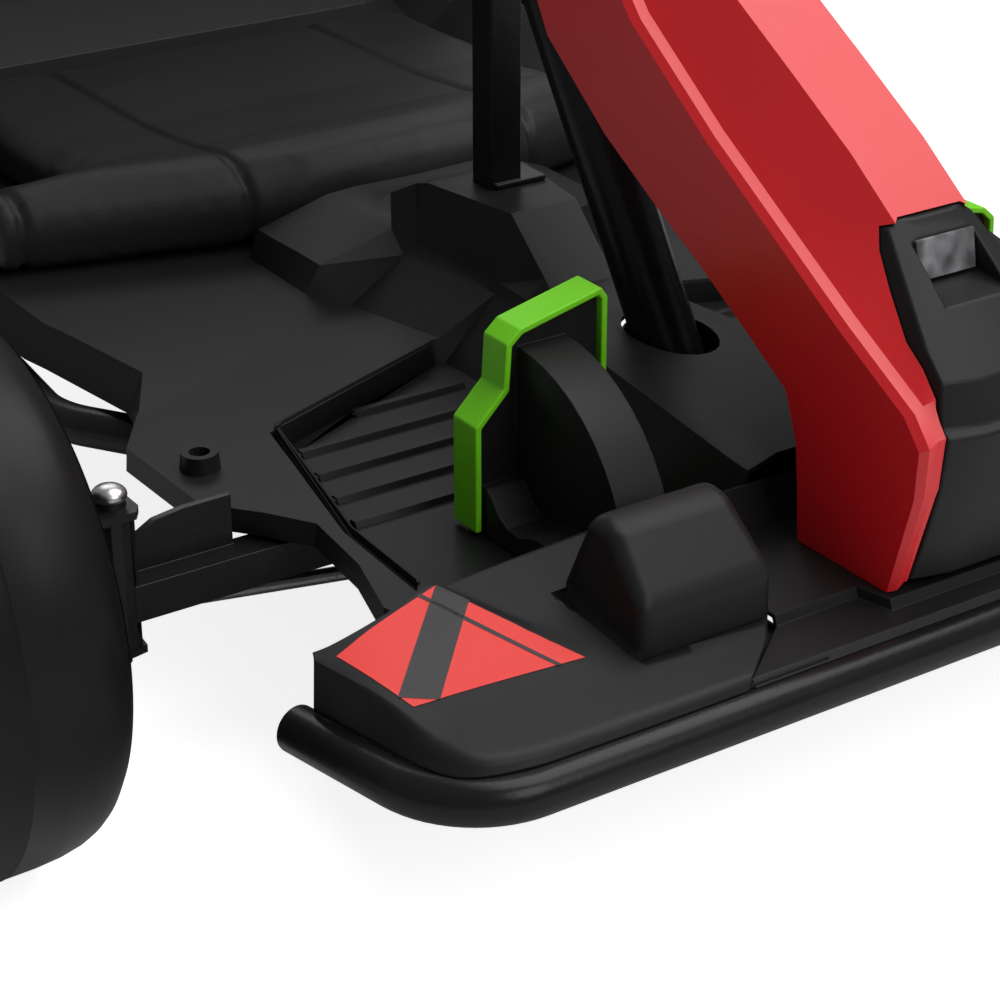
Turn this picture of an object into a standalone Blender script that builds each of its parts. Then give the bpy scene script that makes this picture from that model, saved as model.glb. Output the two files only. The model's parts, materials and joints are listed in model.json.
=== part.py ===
# Electric drift kart, metres, +Z up.
# The front faces -Y, the driver's right hand is at -X, and the ground is z = 0.
# The origin is on the ground, on the centre line, half way along the kart.

from math import cos, sin, tan, radians, pi, hypot

import bmesh
import bpy
from mathutils import Matrix, Vector

for old in list(bpy.data.objects):
    bpy.data.objects.remove(old, do_unlink=True)

# Driving dimensions
WHEELBASE = 0.732            # front axle to rear axle
WHEEL_RADIUS = 0.132         # tyre tread at its middle
FRONT_TYRE_WIDTH = 0.108
REAR_TYRE_WIDTH = 0.128
FRONT_TRACK = 0.872          # between the mid planes of the front tyres
REAR_TRACK = 0.840
KINGPIN_OFFSET = 0.101       # kingpin to the mid plane of its wheel
BUMPER_REACH = 0.242         # front axle to the middle of the bumper tube
TUBE_RADIUS = 0.011
TUBE_HEIGHT = 0.098          # middle of the frame tubes above the ground
BEAM_SIDE = 0.019            # square tube that carries the kingpins
INNER_RAIL_X = 0.108
REAR_RAIL_X = 0.200
SHEET = 0.0025               # moulded plastic wall
CLEAR = 0.0003               # gap between pieces that touch
COLUMN_RADIUS = 0.0175
SHAFT_RADIUS = 0.008
COLUMN_SLOPE = radians(57)   # column from the floor
COLUMN_BEHIND = 0.021        # front axle to the column's axis at COLUMN_Z
COLUMN_Z = 0.152
COLUMN_LENGTH = 0.400
HAND_WHEEL_RADIUS = 0.125    # steering wheel, middle of its rim
GRIP_RADIUS = 0.012
FLOOR_TOP = 0.1125           # footwell floor
PLATE_TOP = 0.125            # raised plate round the footwell
SEAT_HALF_WIDTH = 0.250
SEAT_FRONT = -0.020
LEG_ROOM = 0.346             # front axle to the seat's front edge, as the tables below are measured
SEAT_TOP = 0.560
REAR_AXLE_RADIUS = 0.0125
MOTOR_BEHIND = 0.124         # rear axle to the motor's shaft
MOTOR_RADIUS = 0.045
BATTERY_HEIGHT = 0.058

FRONT_AXLE_Y = -WHEELBASE / 2
REAR_AXLE_Y = WHEELBASE / 2
KINGPIN_X = FRONT_TRACK / 2 - KINGPIN_OFFSET
BUMPER_Y = FRONT_AXLE_Y - BUMPER_REACH
COLUMN_Y = FRONT_AXLE_Y + COLUMN_BEHIND
TUBE_TOP = TUBE_HEIGHT + TUBE_RADIUS
BEAM_TOP = FLOOR_TOP - SHEET - CLEAR
BEAM_BOTTOM = BEAM_TOP - BEAM_SIDE
BEAM_Z = BEAM_TOP - BEAM_SIDE / 2
SIDES = (("right", -1), ("left", 1))

AXIS = Vector((0, cos(COLUMN_SLOPE), sin(COLUMN_SLOPE)))      # up the steering column
ACROSS = Vector((0, sin(COLUMN_SLOPE), -cos(COLUMN_SLOPE)))   # rearwards, square to the column


def column_point(height):
    """Point of the column's axis at a height above the ground."""
    return Vector((0, COLUMN_Y + (height - COLUMN_Z) / tan(COLUMN_SLOPE), height))


# Materials

def material(name, colour, roughness, metallic=0.0):
    made = bpy.data.materials.new(name)
    made.use_nodes = True
    shader = made.node_tree.nodes["Principled BSDF"]
    shader.inputs["Base Color"].default_value = (*colour, 1)
    shader.inputs["Roughness"].default_value = roughness
    shader.inputs["Metallic"].default_value = metallic
    return made


BLACK_PLASTIC = material("black_plastic", (0.020, 0.020, 0.021), 0.55)
BLACK_PAINT = material("black_paint", (0.012, 0.012, 0.013), 0.25, 0.3)
BLACK_TYRE = material("black_tyre", (0.016, 0.016, 0.017), 0.38)
RED_PLASTIC = material("red_plastic", (0.62, 0.018, 0.014), 0.32)
GREEN_PLASTIC = material("green_plastic", (0.22, 0.66, 0.02), 0.40)
CLEAR_LENS = material("clear_lens", (0.75, 0.78, 0.80), 0.08)
SEAT_COVER = material("seat_cover", (0.022, 0.022, 0.024), 0.50)
ALUMINIUM = material("aluminium", (0.55, 0.56, 0.57), 0.35, 1.0)


# Making shapes

def box(low, high):
    bm = bmesh.new()
    bmesh.ops.create_cube(bm, size=1)
    low, high = Vector(low), Vector(high)
    size = high - low
    bmesh.ops.scale(bm, vec=size, verts=bm.verts)
    bmesh.ops.translate(bm, vec=(low + high) / 2, verts=bm.verts)
    return bm


def rod(start, end, radius, sides=14, end_radius=None):
    start, end = Vector(start), Vector(end)
    length = (end - start).length
    bm = bmesh.new()
    bmesh.ops.create_cone(bm, cap_ends=True, segments=sides, radius1=radius,
                          radius2=radius if end_radius is None else end_radius, depth=length)
    turn = Vector((0, 0, 1)).rotation_difference(end - start).to_matrix().to_4x4()
    bmesh.ops.transform(bm, matrix=Matrix.Translation((start + end) / 2) @ turn, verts=bm.verts)
    return bm


def prism(outline, low, high, axis="x"):
    """Outline of (u, v) points pushed from low to high along an axis."""
    order = {"x": lambda u, v, w: (w, u, v),
             "y": lambda u, v, w: (u, w, v),
             "z": lambda u, v, w: (u, v, w)}[axis]
    bm = bmesh.new()
    face = bm.faces.new([bm.verts.new(order(u, v, low)) for u, v in outline])
    pushed = bmesh.ops.extrude_face_region(bm, geom=[face])
    moved = [part for part in pushed["geom"] if isinstance(part, bmesh.types.BMVert)]
    bmesh.ops.translate(bm, vec=Vector(order(0, 0, high - low)), verts=moved)
    bmesh.ops.recalc_face_normals(bm, faces=bm.faces)
    return bm


def turned(profile, centre, sides):
    """Closed profile of (radius, x) points spun about the X direction through centre."""
    bm = bmesh.new()
    rim = [bm.verts.new((x, 0, radius)) for radius, x in profile]
    edges = [bm.edges.new((a, b)) for a, b in zip(rim, rim[1:] + rim[:1])]
    bmesh.ops.spin(bm, geom=rim + edges, cent=(0, 0, 0), axis=(1, 0, 0), angle=2 * pi,
                   steps=sides, use_merge=True)
    bmesh.ops.remove_doubles(bm, verts=bm.verts, dist=1e-6)
    bmesh.ops.translate(bm, vec=Vector(centre), verts=bm.verts)
    bmesh.ops.recalc_face_normals(bm, faces=bm.faces)
    return bm


def rounded(corners, bend, steps=3):
    """Corner points turned into a path with round bends."""
    corners = [Vector(corner) for corner in corners]
    path = [corners[0]]
    for before, here, after in zip(corners, corners[1:], corners[2:]):
        back, ahead = (before - here).normalized(), (after - here).normalized()
        half = back.angle(ahead) / 2
        start = here + back * bend / tan(half)
        end = here + ahead * bend / tan(half)
        middle = here + (back + ahead).normalized() * bend / sin(half)
        for step in range(steps + 1):
            out = (start - middle).slerp(end - middle, step / steps)
            path.append(middle + out.normalized() * bend)
    path.append(corners[-1])
    return path


def tube(path, radius, sides=10):
    """Round bar along a path."""
    bm = bmesh.new()
    headings = [(b - a).normalized() for a, b in zip(path, path[1:])]
    side = headings[0].orthogonal().normalized()
    rings = []
    for index, point in enumerate(path):
        before = headings[max(index - 1, 0)]
        after = headings[min(index, len(headings) - 1)]
        heading = (before + after).normalized()
        side = (side - heading * side.dot(heading)).normalized()
        up = heading.cross(side)
        rings.append([bm.verts.new(point + radius * (side * cos(2 * pi * n / sides)
                                                      + up * sin(2 * pi * n / sides)))
                      for n in range(sides)])
    for ring, following in zip(rings, rings[1:]):
        for n in range(sides):
            m = (n + 1) % sides
            bm.faces.new((ring[n], ring[m], following[m], following[n]))
    bm.faces.new(rings[0][::-1])
    bm.faces.new(rings[-1])
    bmesh.ops.recalc_face_normals(bm, faces=bm.faces)
    return bm


def sheet(rows, outwards):
    """Open surface through rows of equal length; its faces mostly face outwards."""
    bm = bmesh.new()
    grid = [[bm.verts.new(point) for point in row] for row in rows]
    for row, following in zip(grid, grid[1:]):
        for n in range(len(row) - 1):
            bm.faces.new((row[n], row[n + 1], following[n + 1], following[n]))
    bmesh.ops.remove_doubles(bm, verts=bm.verts, dist=1e-6)
    return facing(bm, outwards)


def facing(bm, outwards):
    bmesh.ops.recalc_face_normals(bm, faces=bm.faces)
    bm.normal_update()
    if sum(face.normal.dot(Vector(outwards)) * face.calc_area() for face in bm.faces) < 0:
        bmesh.ops.reverse_faces(bm, faces=bm.faces)
    return bm


def soften(bm, width, segments=2):
    """Round the sharp inner edges of an open surface before it gets its wall."""
    sharp = [edge for edge in bm.edges if edge.is_manifold and edge.calc_face_angle(0) > radians(20)]
    bmesh.ops.bevel(bm, geom=sharp, offset=width, offset_type="OFFSET", segments=segments,
                    profile=0.5, affect="EDGES", material=-1, clamp_overlap=True)
    return bm


def skinned(rings):
    """Closed body through rings of equal length, with an end face on the first and last."""
    bm = bmesh.new()
    loops = [[bm.verts.new(point) for point in ring] for ring in rings]
    for ring, following in zip(loops, loops[1:]):
        for n in range(len(ring)):
            m = (n + 1) % len(ring)
            bm.faces.new((ring[n], ring[m], following[m], following[n]))
    bm.faces.new(loops[0])
    bm.faces.new(loops[-1])
    bmesh.ops.triangulate(bm, faces=bm.faces)
    bmesh.ops.recalc_face_normals(bm, faces=bm.faces)
    return bm


def mirrored(bm, side):
    """The shape drawn for the right side, or its mirror image for the left."""
    if side > 0:
        bmesh.ops.scale(bm, vec=(-1, 1, 1), verts=bm.verts)
        bmesh.ops.reverse_faces(bm, faces=bm.faces)
    return bm


def helper(bm, name="helper"):
    mesh = bpy.data.meshes.new(name)
    bm.to_mesh(mesh)
    bm.free()
    made = bpy.data.objects.new(name, mesh)
    bpy.context.collection.objects.link(made)
    return made


def evaluated_mesh(made):
    graph = bpy.context.evaluated_depsgraph_get()
    return bpy.data.meshes.new_from_object(made.evaluated_get(graph))


def shaped(base, joined=(), cut=(), thickness=0.0, bevel=0.0):
    """One bmesh from a base with walls thickened, pieces joined and others cut away."""
    made = helper(base)
    tools = []
    if thickness:
        wall = made.modifiers.new("wall", "SOLIDIFY")
        wall.thickness = thickness
        wall.offset = -1
        wall.use_even_offset = True
    for operation, pieces in (("UNION", joined), ("DIFFERENCE", cut)):
        for piece in pieces:
            tool = helper(piece)
            tools.append(tool)
            step = made.modifiers.new("step", "BOOLEAN")
            step.operation = operation
            step.object = tool
            step.solver = "EXACT"
    if bevel:
        soft = made.modifiers.new("soft", "BEVEL")
        soft.width = bevel
        soft.segments = 2
        soft.limit_method = "ANGLE"
    mesh = evaluated_mesh(made)
    bm = bmesh.new()
    bm.from_mesh(mesh)
    bmesh.ops.remove_doubles(bm, verts=bm.verts, dist=1e-6)
    for spent in [made] + tools:
        bpy.data.objects.remove(spent, do_unlink=True)
    return bm


def pivot(name, place):
    """Empty on a joint's axis that carries the pieces of one moving body."""
    made = bpy.data.objects.new(name, None)
    made.location = place
    bpy.context.collection.objects.link(made)
    return made


def node(name, bm, finish, carrier=None):
    """One named sub-part; a moving one hangs from its joint's empty."""
    if carrier is not None:
        bmesh.ops.translate(bm, vec=-carrier.location, verts=bm.verts)
    mesh = bpy.data.meshes.new(name)
    bm.to_mesh(mesh)
    bm.free()
    mesh.materials.append(finish)
    mesh.shade_smooth()
    mesh.set_sharp_from_angle(angle=radians(32))
    made = bpy.data.objects.new(name, mesh)
    bpy.context.collection.objects.link(made)
    made.parent = carrier
    return made


def between(value, table):
    """Straight-line reading of a table of (position, result, ...) rows sorted by position."""
    if value <= table[0][0]:
        return table[0][1:]
    for low, high in zip(table, table[1:]):
        if value <= high[0]:
            share = (value - low[0]) / (high[0] - low[0])
            return tuple(a + (b - a) * share for a, b in zip(low[1:], high[1:]))
    return table[-1][1:]


def behind_axle(distance):
    """Place behind the front axle; the room up to the seat shares any change of wheelbase."""
    return FRONT_AXLE_Y + distance * ((SEAT_FRONT - FRONT_AXLE_Y) / LEG_ROOM if distance > 0 else 1)


def from_axle(table):
    """Rows that start with a distance behind the front axle, as rows that start with y."""
    return tuple((behind_axle(row[0]), *row[1:]) for row in table)


# Frame: bumper tubes, rails, cross tubes and the outriggers that hold the kingpins

BUMPER_CORNERS = (           # x, distance behind the tube's middle
    (0.321, 0.100),
    (0.301, -0.001),
    (0.0, 0.0),
)
BUMPER_BEND = 0.048


def bumper_tube(name, y, inwards):
    half = [Vector((x, y + inwards * back, TUBE_HEIGHT)) for x, back in BUMPER_CORNERS]
    half[1].y = y
    right = [Vector((-point.x, point.y, point.z)) for point in half[:2]]
    node(name, tube(rounded(right + half[1::-1], BUMPER_BEND, 5), TUBE_RADIUS, 12), BLACK_PAINT)


bumper_tube("front_bumper_tube", BUMPER_Y, 1)
bumper_tube("rear_bumper_tube", -BUMPER_Y, -1)

CROSS_Y = behind_axle(0.179)   # cross tube under the steering post
OUTRIGGER_END = INNER_RAIL_X + TUBE_RADIUS + CLEAR
SIDE_RAIL = (                # x, y corners, from the outrigger to the rear bumper
    (0.217, FRONT_AXLE_Y + BEAM_SIDE / 2 + CLEAR),
    (0.217, behind_axle(0.126)),
    (0.270, behind_axle(0.206)),
    (0.255, 0.000),
    (REAR_RAIL_X, 0.090),
    (REAR_RAIL_X, -BUMPER_Y - TUBE_RADIUS - CLEAR),
)
SIDE_RAIL_BEND = 0.060

for word, side in SIDES:
    rail_front = BUMPER_Y + TUBE_RADIUS + CLEAR
    rail_rear = CROSS_Y - TUBE_RADIUS - CLEAR
    inner = rod((side * INNER_RAIL_X, rail_front, TUBE_HEIGHT),
                (side * INNER_RAIL_X, rail_rear, TUBE_HEIGHT), TUBE_RADIUS, 16)
    node("inner_rail_" + word, inner, BLACK_PAINT)
    outer = [Vector((side * x, y, TUBE_HEIGHT)) for x, y in SIDE_RAIL]
    node("side_rail_" + word, tube(rounded(outer, SIDE_RAIL_BEND), TUBE_RADIUS), BLACK_PAINT)

KINGPIN_TUBE_RADIUS = 0.011
KINGPIN_RADIUS = 0.0055
KINGPIN_BOTTOM = 0.078
KINGPIN_TOP = WHEEL_RADIUS + 0.014
GUSSET = (                   # inboard of the kingpin, above the beam: plate on the beam's rear side
    (0.007, -0.010),
    (0.007, 0.004),
    (0.009, 0.012),
    (0.015, 0.019),
    (0.024, 0.024),
    (0.040, 0.0262),
    (0.065, 0.0265),
    (0.065, -0.010),
)


def outrigger(side):
    half = BEAM_SIDE / 2
    beam = box((-KINGPIN_X, FRONT_AXLE_Y - half, BEAM_BOTTOM),
               (-OUTRIGGER_END, FRONT_AXLE_Y + half, BEAM_TOP))
    post = rod((-KINGPIN_X, FRONT_AXLE_Y, KINGPIN_BOTTOM), (-KINGPIN_X, FRONT_AXLE_Y, KINGPIN_TOP),
               KINGPIN_TUBE_RADIUS)
    plate = [(-KINGPIN_X + inboard, BEAM_TOP + up) for inboard, up in GUSSET]
    gusset = prism(plate, FRONT_AXLE_Y + half - 0.005, FRONT_AXLE_Y + half - 0.001, "y")
    bore = rod((-KINGPIN_X, FRONT_AXLE_Y, KINGPIN_BOTTOM - 0.01),
               (-KINGPIN_X, FRONT_AXLE_Y, KINGPIN_TOP + 0.01), KINGPIN_RADIUS + 0.0006)
    return mirrored(shaped(beam, (post, gusset), (bore,)), side)


for word, side in SIDES:
    node("outrigger_" + word, outrigger(side), BLACK_PAINT)


def side_rail_x(y):
    """Outer rail's middle at a place along the kart, where it runs straight."""
    return between(y, [(row[1], row[0]) for row in SIDE_RAIL])[0]


CROSS_REACH = side_rail_x(CROSS_Y) - 2 * TUBE_RADIUS
node("cross_tube_front", rod((-CROSS_REACH, CROSS_Y, TUBE_HEIGHT),
                             (CROSS_REACH, CROSS_Y, TUBE_HEIGHT), TUBE_RADIUS, 16), BLACK_PAINT)
REAR_CROSS_Y = REAR_AXLE_Y - 0.066
REAR_REACH = REAR_RAIL_X - TUBE_RADIUS - CLEAR
node("cross_tube_rear", rod((-REAR_REACH, REAR_CROSS_Y, TUBE_HEIGHT),
                            (REAR_REACH, REAR_CROSS_Y, TUBE_HEIGHT), TUBE_RADIUS, 16), BLACK_PAINT)

# Cross plate with the socket that holds the foot of the steering column
PLATE_Z = (0.096, 0.100)
SOCKET_TOP = 0.134
SOCKET_WALL = 0.004
plate_x = INNER_RAIL_X - TUBE_RADIUS - CLEAR
plate_y = column_point(PLATE_Z[1]).y
foot_plate = box((-plate_x, plate_y - 0.030, PLATE_Z[0]), (plate_x, plate_y + 0.030, PLATE_Z[1]))
socket = rod(column_point(PLATE_Z[0] + 0.010), column_point(SOCKET_TOP),
             COLUMN_RADIUS + CLEAR + SOCKET_WALL)
trim = box((-0.05, plate_y - 0.06, 0.06), (0.05, plate_y + 0.06, PLATE_Z[0]))
seat_bore = rod(column_point(0.108), column_point(0.20), COLUMN_RADIUS + CLEAR, 28)
shaft_bore = rod(column_point(0.05), column_point(0.15), SHAFT_RADIUS + 0.0015)
node("column_socket", shaped(foot_plate, (socket,), (trim, seat_bore, shaft_bore)), BLACK_PAINT)

# Floor tray: raised plates, sunk footwells with cross ribs, and the centre tunnel
TRAY_OUTLINE = from_axle((   # behind the front axle, outer x
    (-0.154, 0.250),
    (-0.114, 0.258),
    (-0.073, 0.246),
    (-0.026, 0.241),
    (-0.002, 0.256),
    (0.024, 0.277),
    (0.100, 0.278),
    (0.141, 0.250),
    (0.171, 0.246),
)) + ((SEAT_FRONT - 0.090, 0.262), (SEAT_FRONT + 0.032, 0.262))
CUSHION_ROLL = (             # behind the shell's front edge, z, share of the bow, share of the rise
    (-0.0006, 0.1338, 0.0, 0.0),
    (-0.0006, 0.1520, 0.0, 0.0),
    (0.0260, 0.1520, 0.0, 0.0),
    (0.0260, 0.1700, 0.0, 0.0),
    (0.0180, 0.1780, 0.3, 0.6),
    (0.0000, 0.1825, 0.6, 1.0),
    (-0.0140, 0.1800, 1.0, 1.0),
    (-0.0240, 0.1720, 1.0, 0.5),
    (-0.0280, 0.1590, 1.0, 0.0),
    (-0.0270, 0.1460, 1.0, 0.0),
    (-0.0235, 0.1338, 1.0, 0.0),
)
CUSHION_BOW = (              # x, how far the roll bows forward there, how much higher it is
    (0.000, 0.052, 0.004),
    (0.060, 0.049, 0.003),
    (0.100, 0.039, 0.000),
    (0.228, 0.004, 0.000),
    (0.246, 0.000, -0.003),
)
TUNNEL_END = SEAT_FRONT + CUSHION_ROLL[8][0] - CUSHION_BOW[0][1] - 0.0008
PLINTH_Y = behind_axle(0.132)
RAMP = (behind_axle(0.200), behind_axle(0.213))   # its two edges at the tunnel's foot
TRAY_TUNNEL = from_axle((    # behind the front axle, foot x, wall x and z, shoulder x and z, top x and z
    (-0.154, 0.074, 0.065, 0.137, 0.062, 0.143, 0.046, 0.148),
    (-0.109, 0.074, 0.063, 0.139, 0.060, 0.145, 0.042, 0.150),
    (0.006, 0.072, 0.051, 0.142, 0.048, 0.148, 0.026, 0.153),
    (0.094, 0.070, 0.037, 0.144, 0.034, 0.150, 0.021, 0.154),
    (0.132, 0.070, 0.037, 0.146, 0.034, 0.152, 0.022, 0.188),
    (0.200, 0.086, 0.050, 0.148, 0.042, 0.156, 0.033, 0.188),
    (0.213, 0.108, 0.098, 0.148, 0.050, 0.160, 0.033, 0.184),
)) + (
    (TUNNEL_END - 0.029, 0.108, 0.1005, 0.150, 0.058, 0.164, 0.036, 0.172),
    (TUNNEL_END, 0.107, 0.1015, 0.150, 0.060, 0.1665, 0.040, 0.168),
    (TUNNEL_END + 0.0004, 0.107, 0.1015, 0.133, 0.060, 0.133, 0.040, 0.133),
    (SEAT_FRONT + 0.032, 0.107, 0.1015, 0.133, 0.060, 0.133, 0.040, 0.133),
)
FOOTWELL = from_axle((       # behind the front axle, outer x of the sunk floor
    (-0.154, 0.236),
    (-0.041, 0.231),
    (0.076, 0.205),
    (0.126, 0.076),
))
BORDER = 0.004               # run of the step round the footwell
SKIRT_DROP = 0.0125
REAR_RISE = 0.008            # the plate is higher behind the ramp
RAMP_SLANT = 0.38            # the ramp runs forward towards the outer side
FLANGE = 0.012               # run of the sloping flange beside the raised plate
RIB_START = -0.0165          # behind the front axle
RIB_PITCH, RIB_COUNT = 0.0276, 5
RIB_TOP, RIB_FOOT, RIB_HEIGHT = 0.004, 0.009, 0.0028
RIB_SHORT = 0.010            # ribs stop this far inside the footwell's edges
PEG_X, PEG_Y = 0.258, FRONT_AXLE_Y + 0.059
PEG_HEIGHT = 0.009
POST_SIDE = 0.020
TRAY_NOTCH_X = 0.113         # the tray is open in front for the centre cover
TRAY_NOTCH_Y = FRONT_AXLE_Y - 0.126


def tray_row(y):
    """Half section of the tray from its skirt to the centre line, as (x, y, z)."""
    foot, wall_x, wall_z, shoulder_x, shoulder_z, top_x, top_z = between(y, TRAY_TUNNEL)
    slant = RAMP_SLANT if y in RAMP else 0.0
    raised = y > RAMP[0]
    plate = PLATE_TOP + (REAR_RISE if raised else 0.0)
    outer, = between(y - slant * (0.25 - foot), TRAY_OUTLINE)
    well = max(between(y, FOOTWELL)[0], foot + 0.006)
    sunk = FLOOR_TOP if y <= FOOTWELL[-1][0] + 1e-6 else plate
    rim = outer - (FLANGE if raised else 0.0)
    skirt = plate - SKIRT_DROP - (0.006 if raised else 0.0)
    section = [(outer + 0.001, skirt), (rim, plate), (well + BORDER, plate), (well, sunk), (foot, sunk),
               (wall_x, wall_z), (shoulder_x, shoulder_z), (top_x, top_z), (0.0, top_z)]
    if TUNNEL_END <= y < TUNNEL_END + 0.001:
        return [(x, y + CUSHION_BOW[0][1] - between(x, CUSHION_BOW)[0], z) for x, z in section]
    return [(x, y - slant * max(x - foot, 0), z) for x, z in section]


def tray_ribs():
    """Cross ribs that stand on the two footwell floors."""
    ribs = []
    for side in (-1, 1):
        for n in range(RIB_COUNT):
            y = behind_axle(RIB_START + n * RIB_PITCH)
            foot, well = between(y, TRAY_TUNNEL)[0], between(y, FOOTWELL)[0]
            outline = [(y - RIB_FOOT / 2, FLOOR_TOP - 0.001), (y + RIB_FOOT / 2, FLOOR_TOP - 0.001),
                       (y + RIB_TOP / 2, FLOOR_TOP + RIB_HEIGHT), (y - RIB_TOP / 2, FLOOR_TOP + RIB_HEIGHT)]
            ends = sorted((side * (foot + RIB_SHORT), side * (well - RIB_SHORT)))
            ribs.append(prism(outline, *ends, "x"))
    return ribs


def column_slot():
    """Oval hole in the tunnel's top that the column passes through."""
    half = COLUMN_RADIUS + 0.004
    low = column_point(COLUMN_Z - 0.030).y - COLUMN_RADIUS
    high = column_point(COLUMN_Z + 0.012).y + COLUMN_RADIUS
    turns = [2 * pi * n / 24 for n in range(24)]
    outline = [(half * cos(a), (low + high) / 2 + 0.53 * (high - low) * sin(a)) for a in turns]
    return prism(outline, 0.12, 0.19, "z")


def floor_tray():
    places = {row[0] for row in TRAY_OUTLINE + TRAY_TUNNEL + FOOTWELL}
    rows = []
    for place in sorted(y for y in places if y <= PLINTH_Y or y in RAMP or y > RAMP[1]):
        half = tray_row(place)
        rows.append([(-x, y, z) for x, y, z in half] + [(x, y, z) for x, y, z in half[-2::-1]])
    bm = sheet(rows, (0, 0, 1))
    for place, normal in (((0, TRAY_NOTCH_Y, 0), (0, 1, 0)), ((TRAY_NOTCH_X, 0, 0), (1, 0, 0)),
                          ((-TRAY_NOTCH_X, 0, 0), (1, 0, 0))):
        everything = bm.verts[:] + bm.edges[:] + bm.faces[:]
        bmesh.ops.bisect_plane(bm, geom=everything, plane_co=place, plane_no=normal)
    middles = [(face, face.calc_center_median()) for face in bm.faces]
    notch = [face for face, middle in middles if abs(middle.x) < TRAY_NOTCH_X and middle.y < TRAY_NOTCH_Y]
    bmesh.ops.delete(bm, geom=notch, context="FACES")
    bmesh.ops.dissolve_limit(bm, angle_limit=radians(0.2), verts=bm.verts, edges=bm.edges)
    bmesh.ops.triangulate(bm, faces=bm.faces)
    post_half = POST_SIDE / 2 + CLEAR
    post_hole = box((-post_half, CROSS_Y - post_half, 0.15), (post_half, CROSS_Y + post_half, 0.21))
    pegs, bores = [], []
    for side in (-1, 1):
        foot = Vector((side * PEG_X, PEG_Y, PLATE_TOP - 0.0015))
        top = Vector((side * PEG_X, PEG_Y, PLATE_TOP + PEG_HEIGHT))
        pegs.append(rod(foot, top, 0.0105, 16, 0.0095))
        bores.append(rod(top - Vector((0, 0, 0.006)), top + Vector((0, 0, 0.004)), 0.0055, 12))
    return shaped(bm, tray_ribs() + pegs, [column_slot(), post_hole] + bores, SHEET)


node("floor_tray", floor_tray(), BLACK_PLASTIC)

# Steering post and column

COLLAR_WALL = 0.005
post_joint = column_point(COLUMN_Z + (CROSS_Y - COLUMN_Y) * tan(COLUMN_SLOPE))
post_bar = box((-POST_SIDE / 2, CROSS_Y - POST_SIDE / 2, TUBE_TOP + CLEAR),
               (POST_SIDE / 2, CROSS_Y + POST_SIDE / 2, post_joint.z))
collar = rod(post_joint - AXIS * 0.018, post_joint + AXIS * 0.018,
             COLUMN_RADIUS + CLEAR + COLLAR_WALL)
collar_bore = rod(post_joint - AXIS * 0.09, post_joint + AXIS * 0.09, COLUMN_RADIUS + CLEAR, 28)
PLINTH_TOP = 0.188
post_foot = box((-POST_SIDE / 2 + 0.002, CROSS_Y - 0.012, PLINTH_TOP + CLEAR),
                (POST_SIDE / 2 + 0.016, CROSS_Y + 0.012, PLINTH_TOP + CLEAR + 0.003))
node("steering_post", shaped(post_bar, (collar, post_foot), (collar_bore,)), BLACK_PAINT)

column_foot = column_point(0.114)
column_head = column_foot + AXIS * COLUMN_LENGTH
jacket = rod(column_foot, column_head, COLUMN_RADIUS, 28)
inner_bore = rod(column_foot + AXIS * 0.012, column_head - AXIS * 0.012, COLUMN_RADIUS - 0.002, 20)
bush_bore = rod(column_foot - AXIS * 0.01, column_head + AXIS * 0.01, SHAFT_RADIUS + 0.0006, 16)
node("steering_column", shaped(jacket, (), (inner_bore, bush_bore)), BLACK_PAINT)

# Moulded bumper cover in three pieces: each is an open shell above the tube
COVER_BASE = TUBE_TOP + CLEAR
SEAM_X = 0.1125              # the seam starts at the hump and runs outwards to the lip
SEAM_GAP = 0.0006
COVER_END = (                # x, behind the tube, z of rear edge, crease, top of the lip, foot of the lip
    ((SEAM_X, 0.111, 0.1460), (SEAM_X, 0.0305, 0.1195), (0.148, 0.002, 0.1165), (0.152, -0.0005, COVER_BASE)),
    ((0.209, 0.109, 0.1445), (0.209, 0.0420, 0.1232), (0.230, 0.005, 0.1160), (0.232, 0.0000, COVER_BASE)),
    ((0.250, 0.104, 0.1430), (0.250, 0.0435, 0.1238), (0.254, 0.006, 0.1158), (0.262, 0.0010, COVER_BASE)),
    ((0.272, 0.0995, 0.1413), (0.274, 0.0455, 0.1244), (0.275, 0.010, 0.1155), (0.288, 0.0080, COVER_BASE)),
    ((0.288, 0.0955, 0.1398), (0.287, 0.0462, 0.1247), (0.289, 0.024, 0.1170), (0.302, 0.0220, COVER_BASE)),
    ((0.298, 0.0925, 0.1390), (0.292, 0.0500, 0.1262), (0.298, 0.043, 0.1225), (0.311, 0.0410, COVER_BASE)),
    ((0.309, 0.0895, 0.1385), (0.303, 0.0680, 0.1325), (0.309, 0.064, 0.1295), (0.317, 0.0630, COVER_BASE)),
    ((0.319, 0.0880, 0.1380), (0.315, 0.0840, 0.1372), (0.319, 0.081, 0.1350), (0.3215, 0.0850, COVER_BASE)),
)
COVER_CENTRE = (             # behind the tube, z, share of the seam's slant, share of the nose's ledge
    (0.1115, 0.1400, 0, 0),
    (0.1030, 0.1222, 0, 0),
    (0.0880, 0.1200, 0, 0),
    (0.0320, 0.1200, 0, 1),
    (0.0300, 0.1150, 0, 1),
    (0.0030, 0.1125, 1, 0),
    (-0.0005, COVER_BASE, 1, 0),
)
COVER_SPREAD = (             # x, slant of the seam there, how far the ledge reaches forward there
    (SEAM_X - SEAM_GAP, 0.036, 0.0),
    (0.064, 0.0, 0.0),
    (0.059, 0.0, 0.018),
    (-0.059, 0.0, 0.018),
    (-0.064, 0.0, 0.0),
    (SEAM_GAP - SEAM_X, -0.036, 0.0),
)
NOSE_SEAT = 0.1200           # top of the centre cover under the nose
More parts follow.
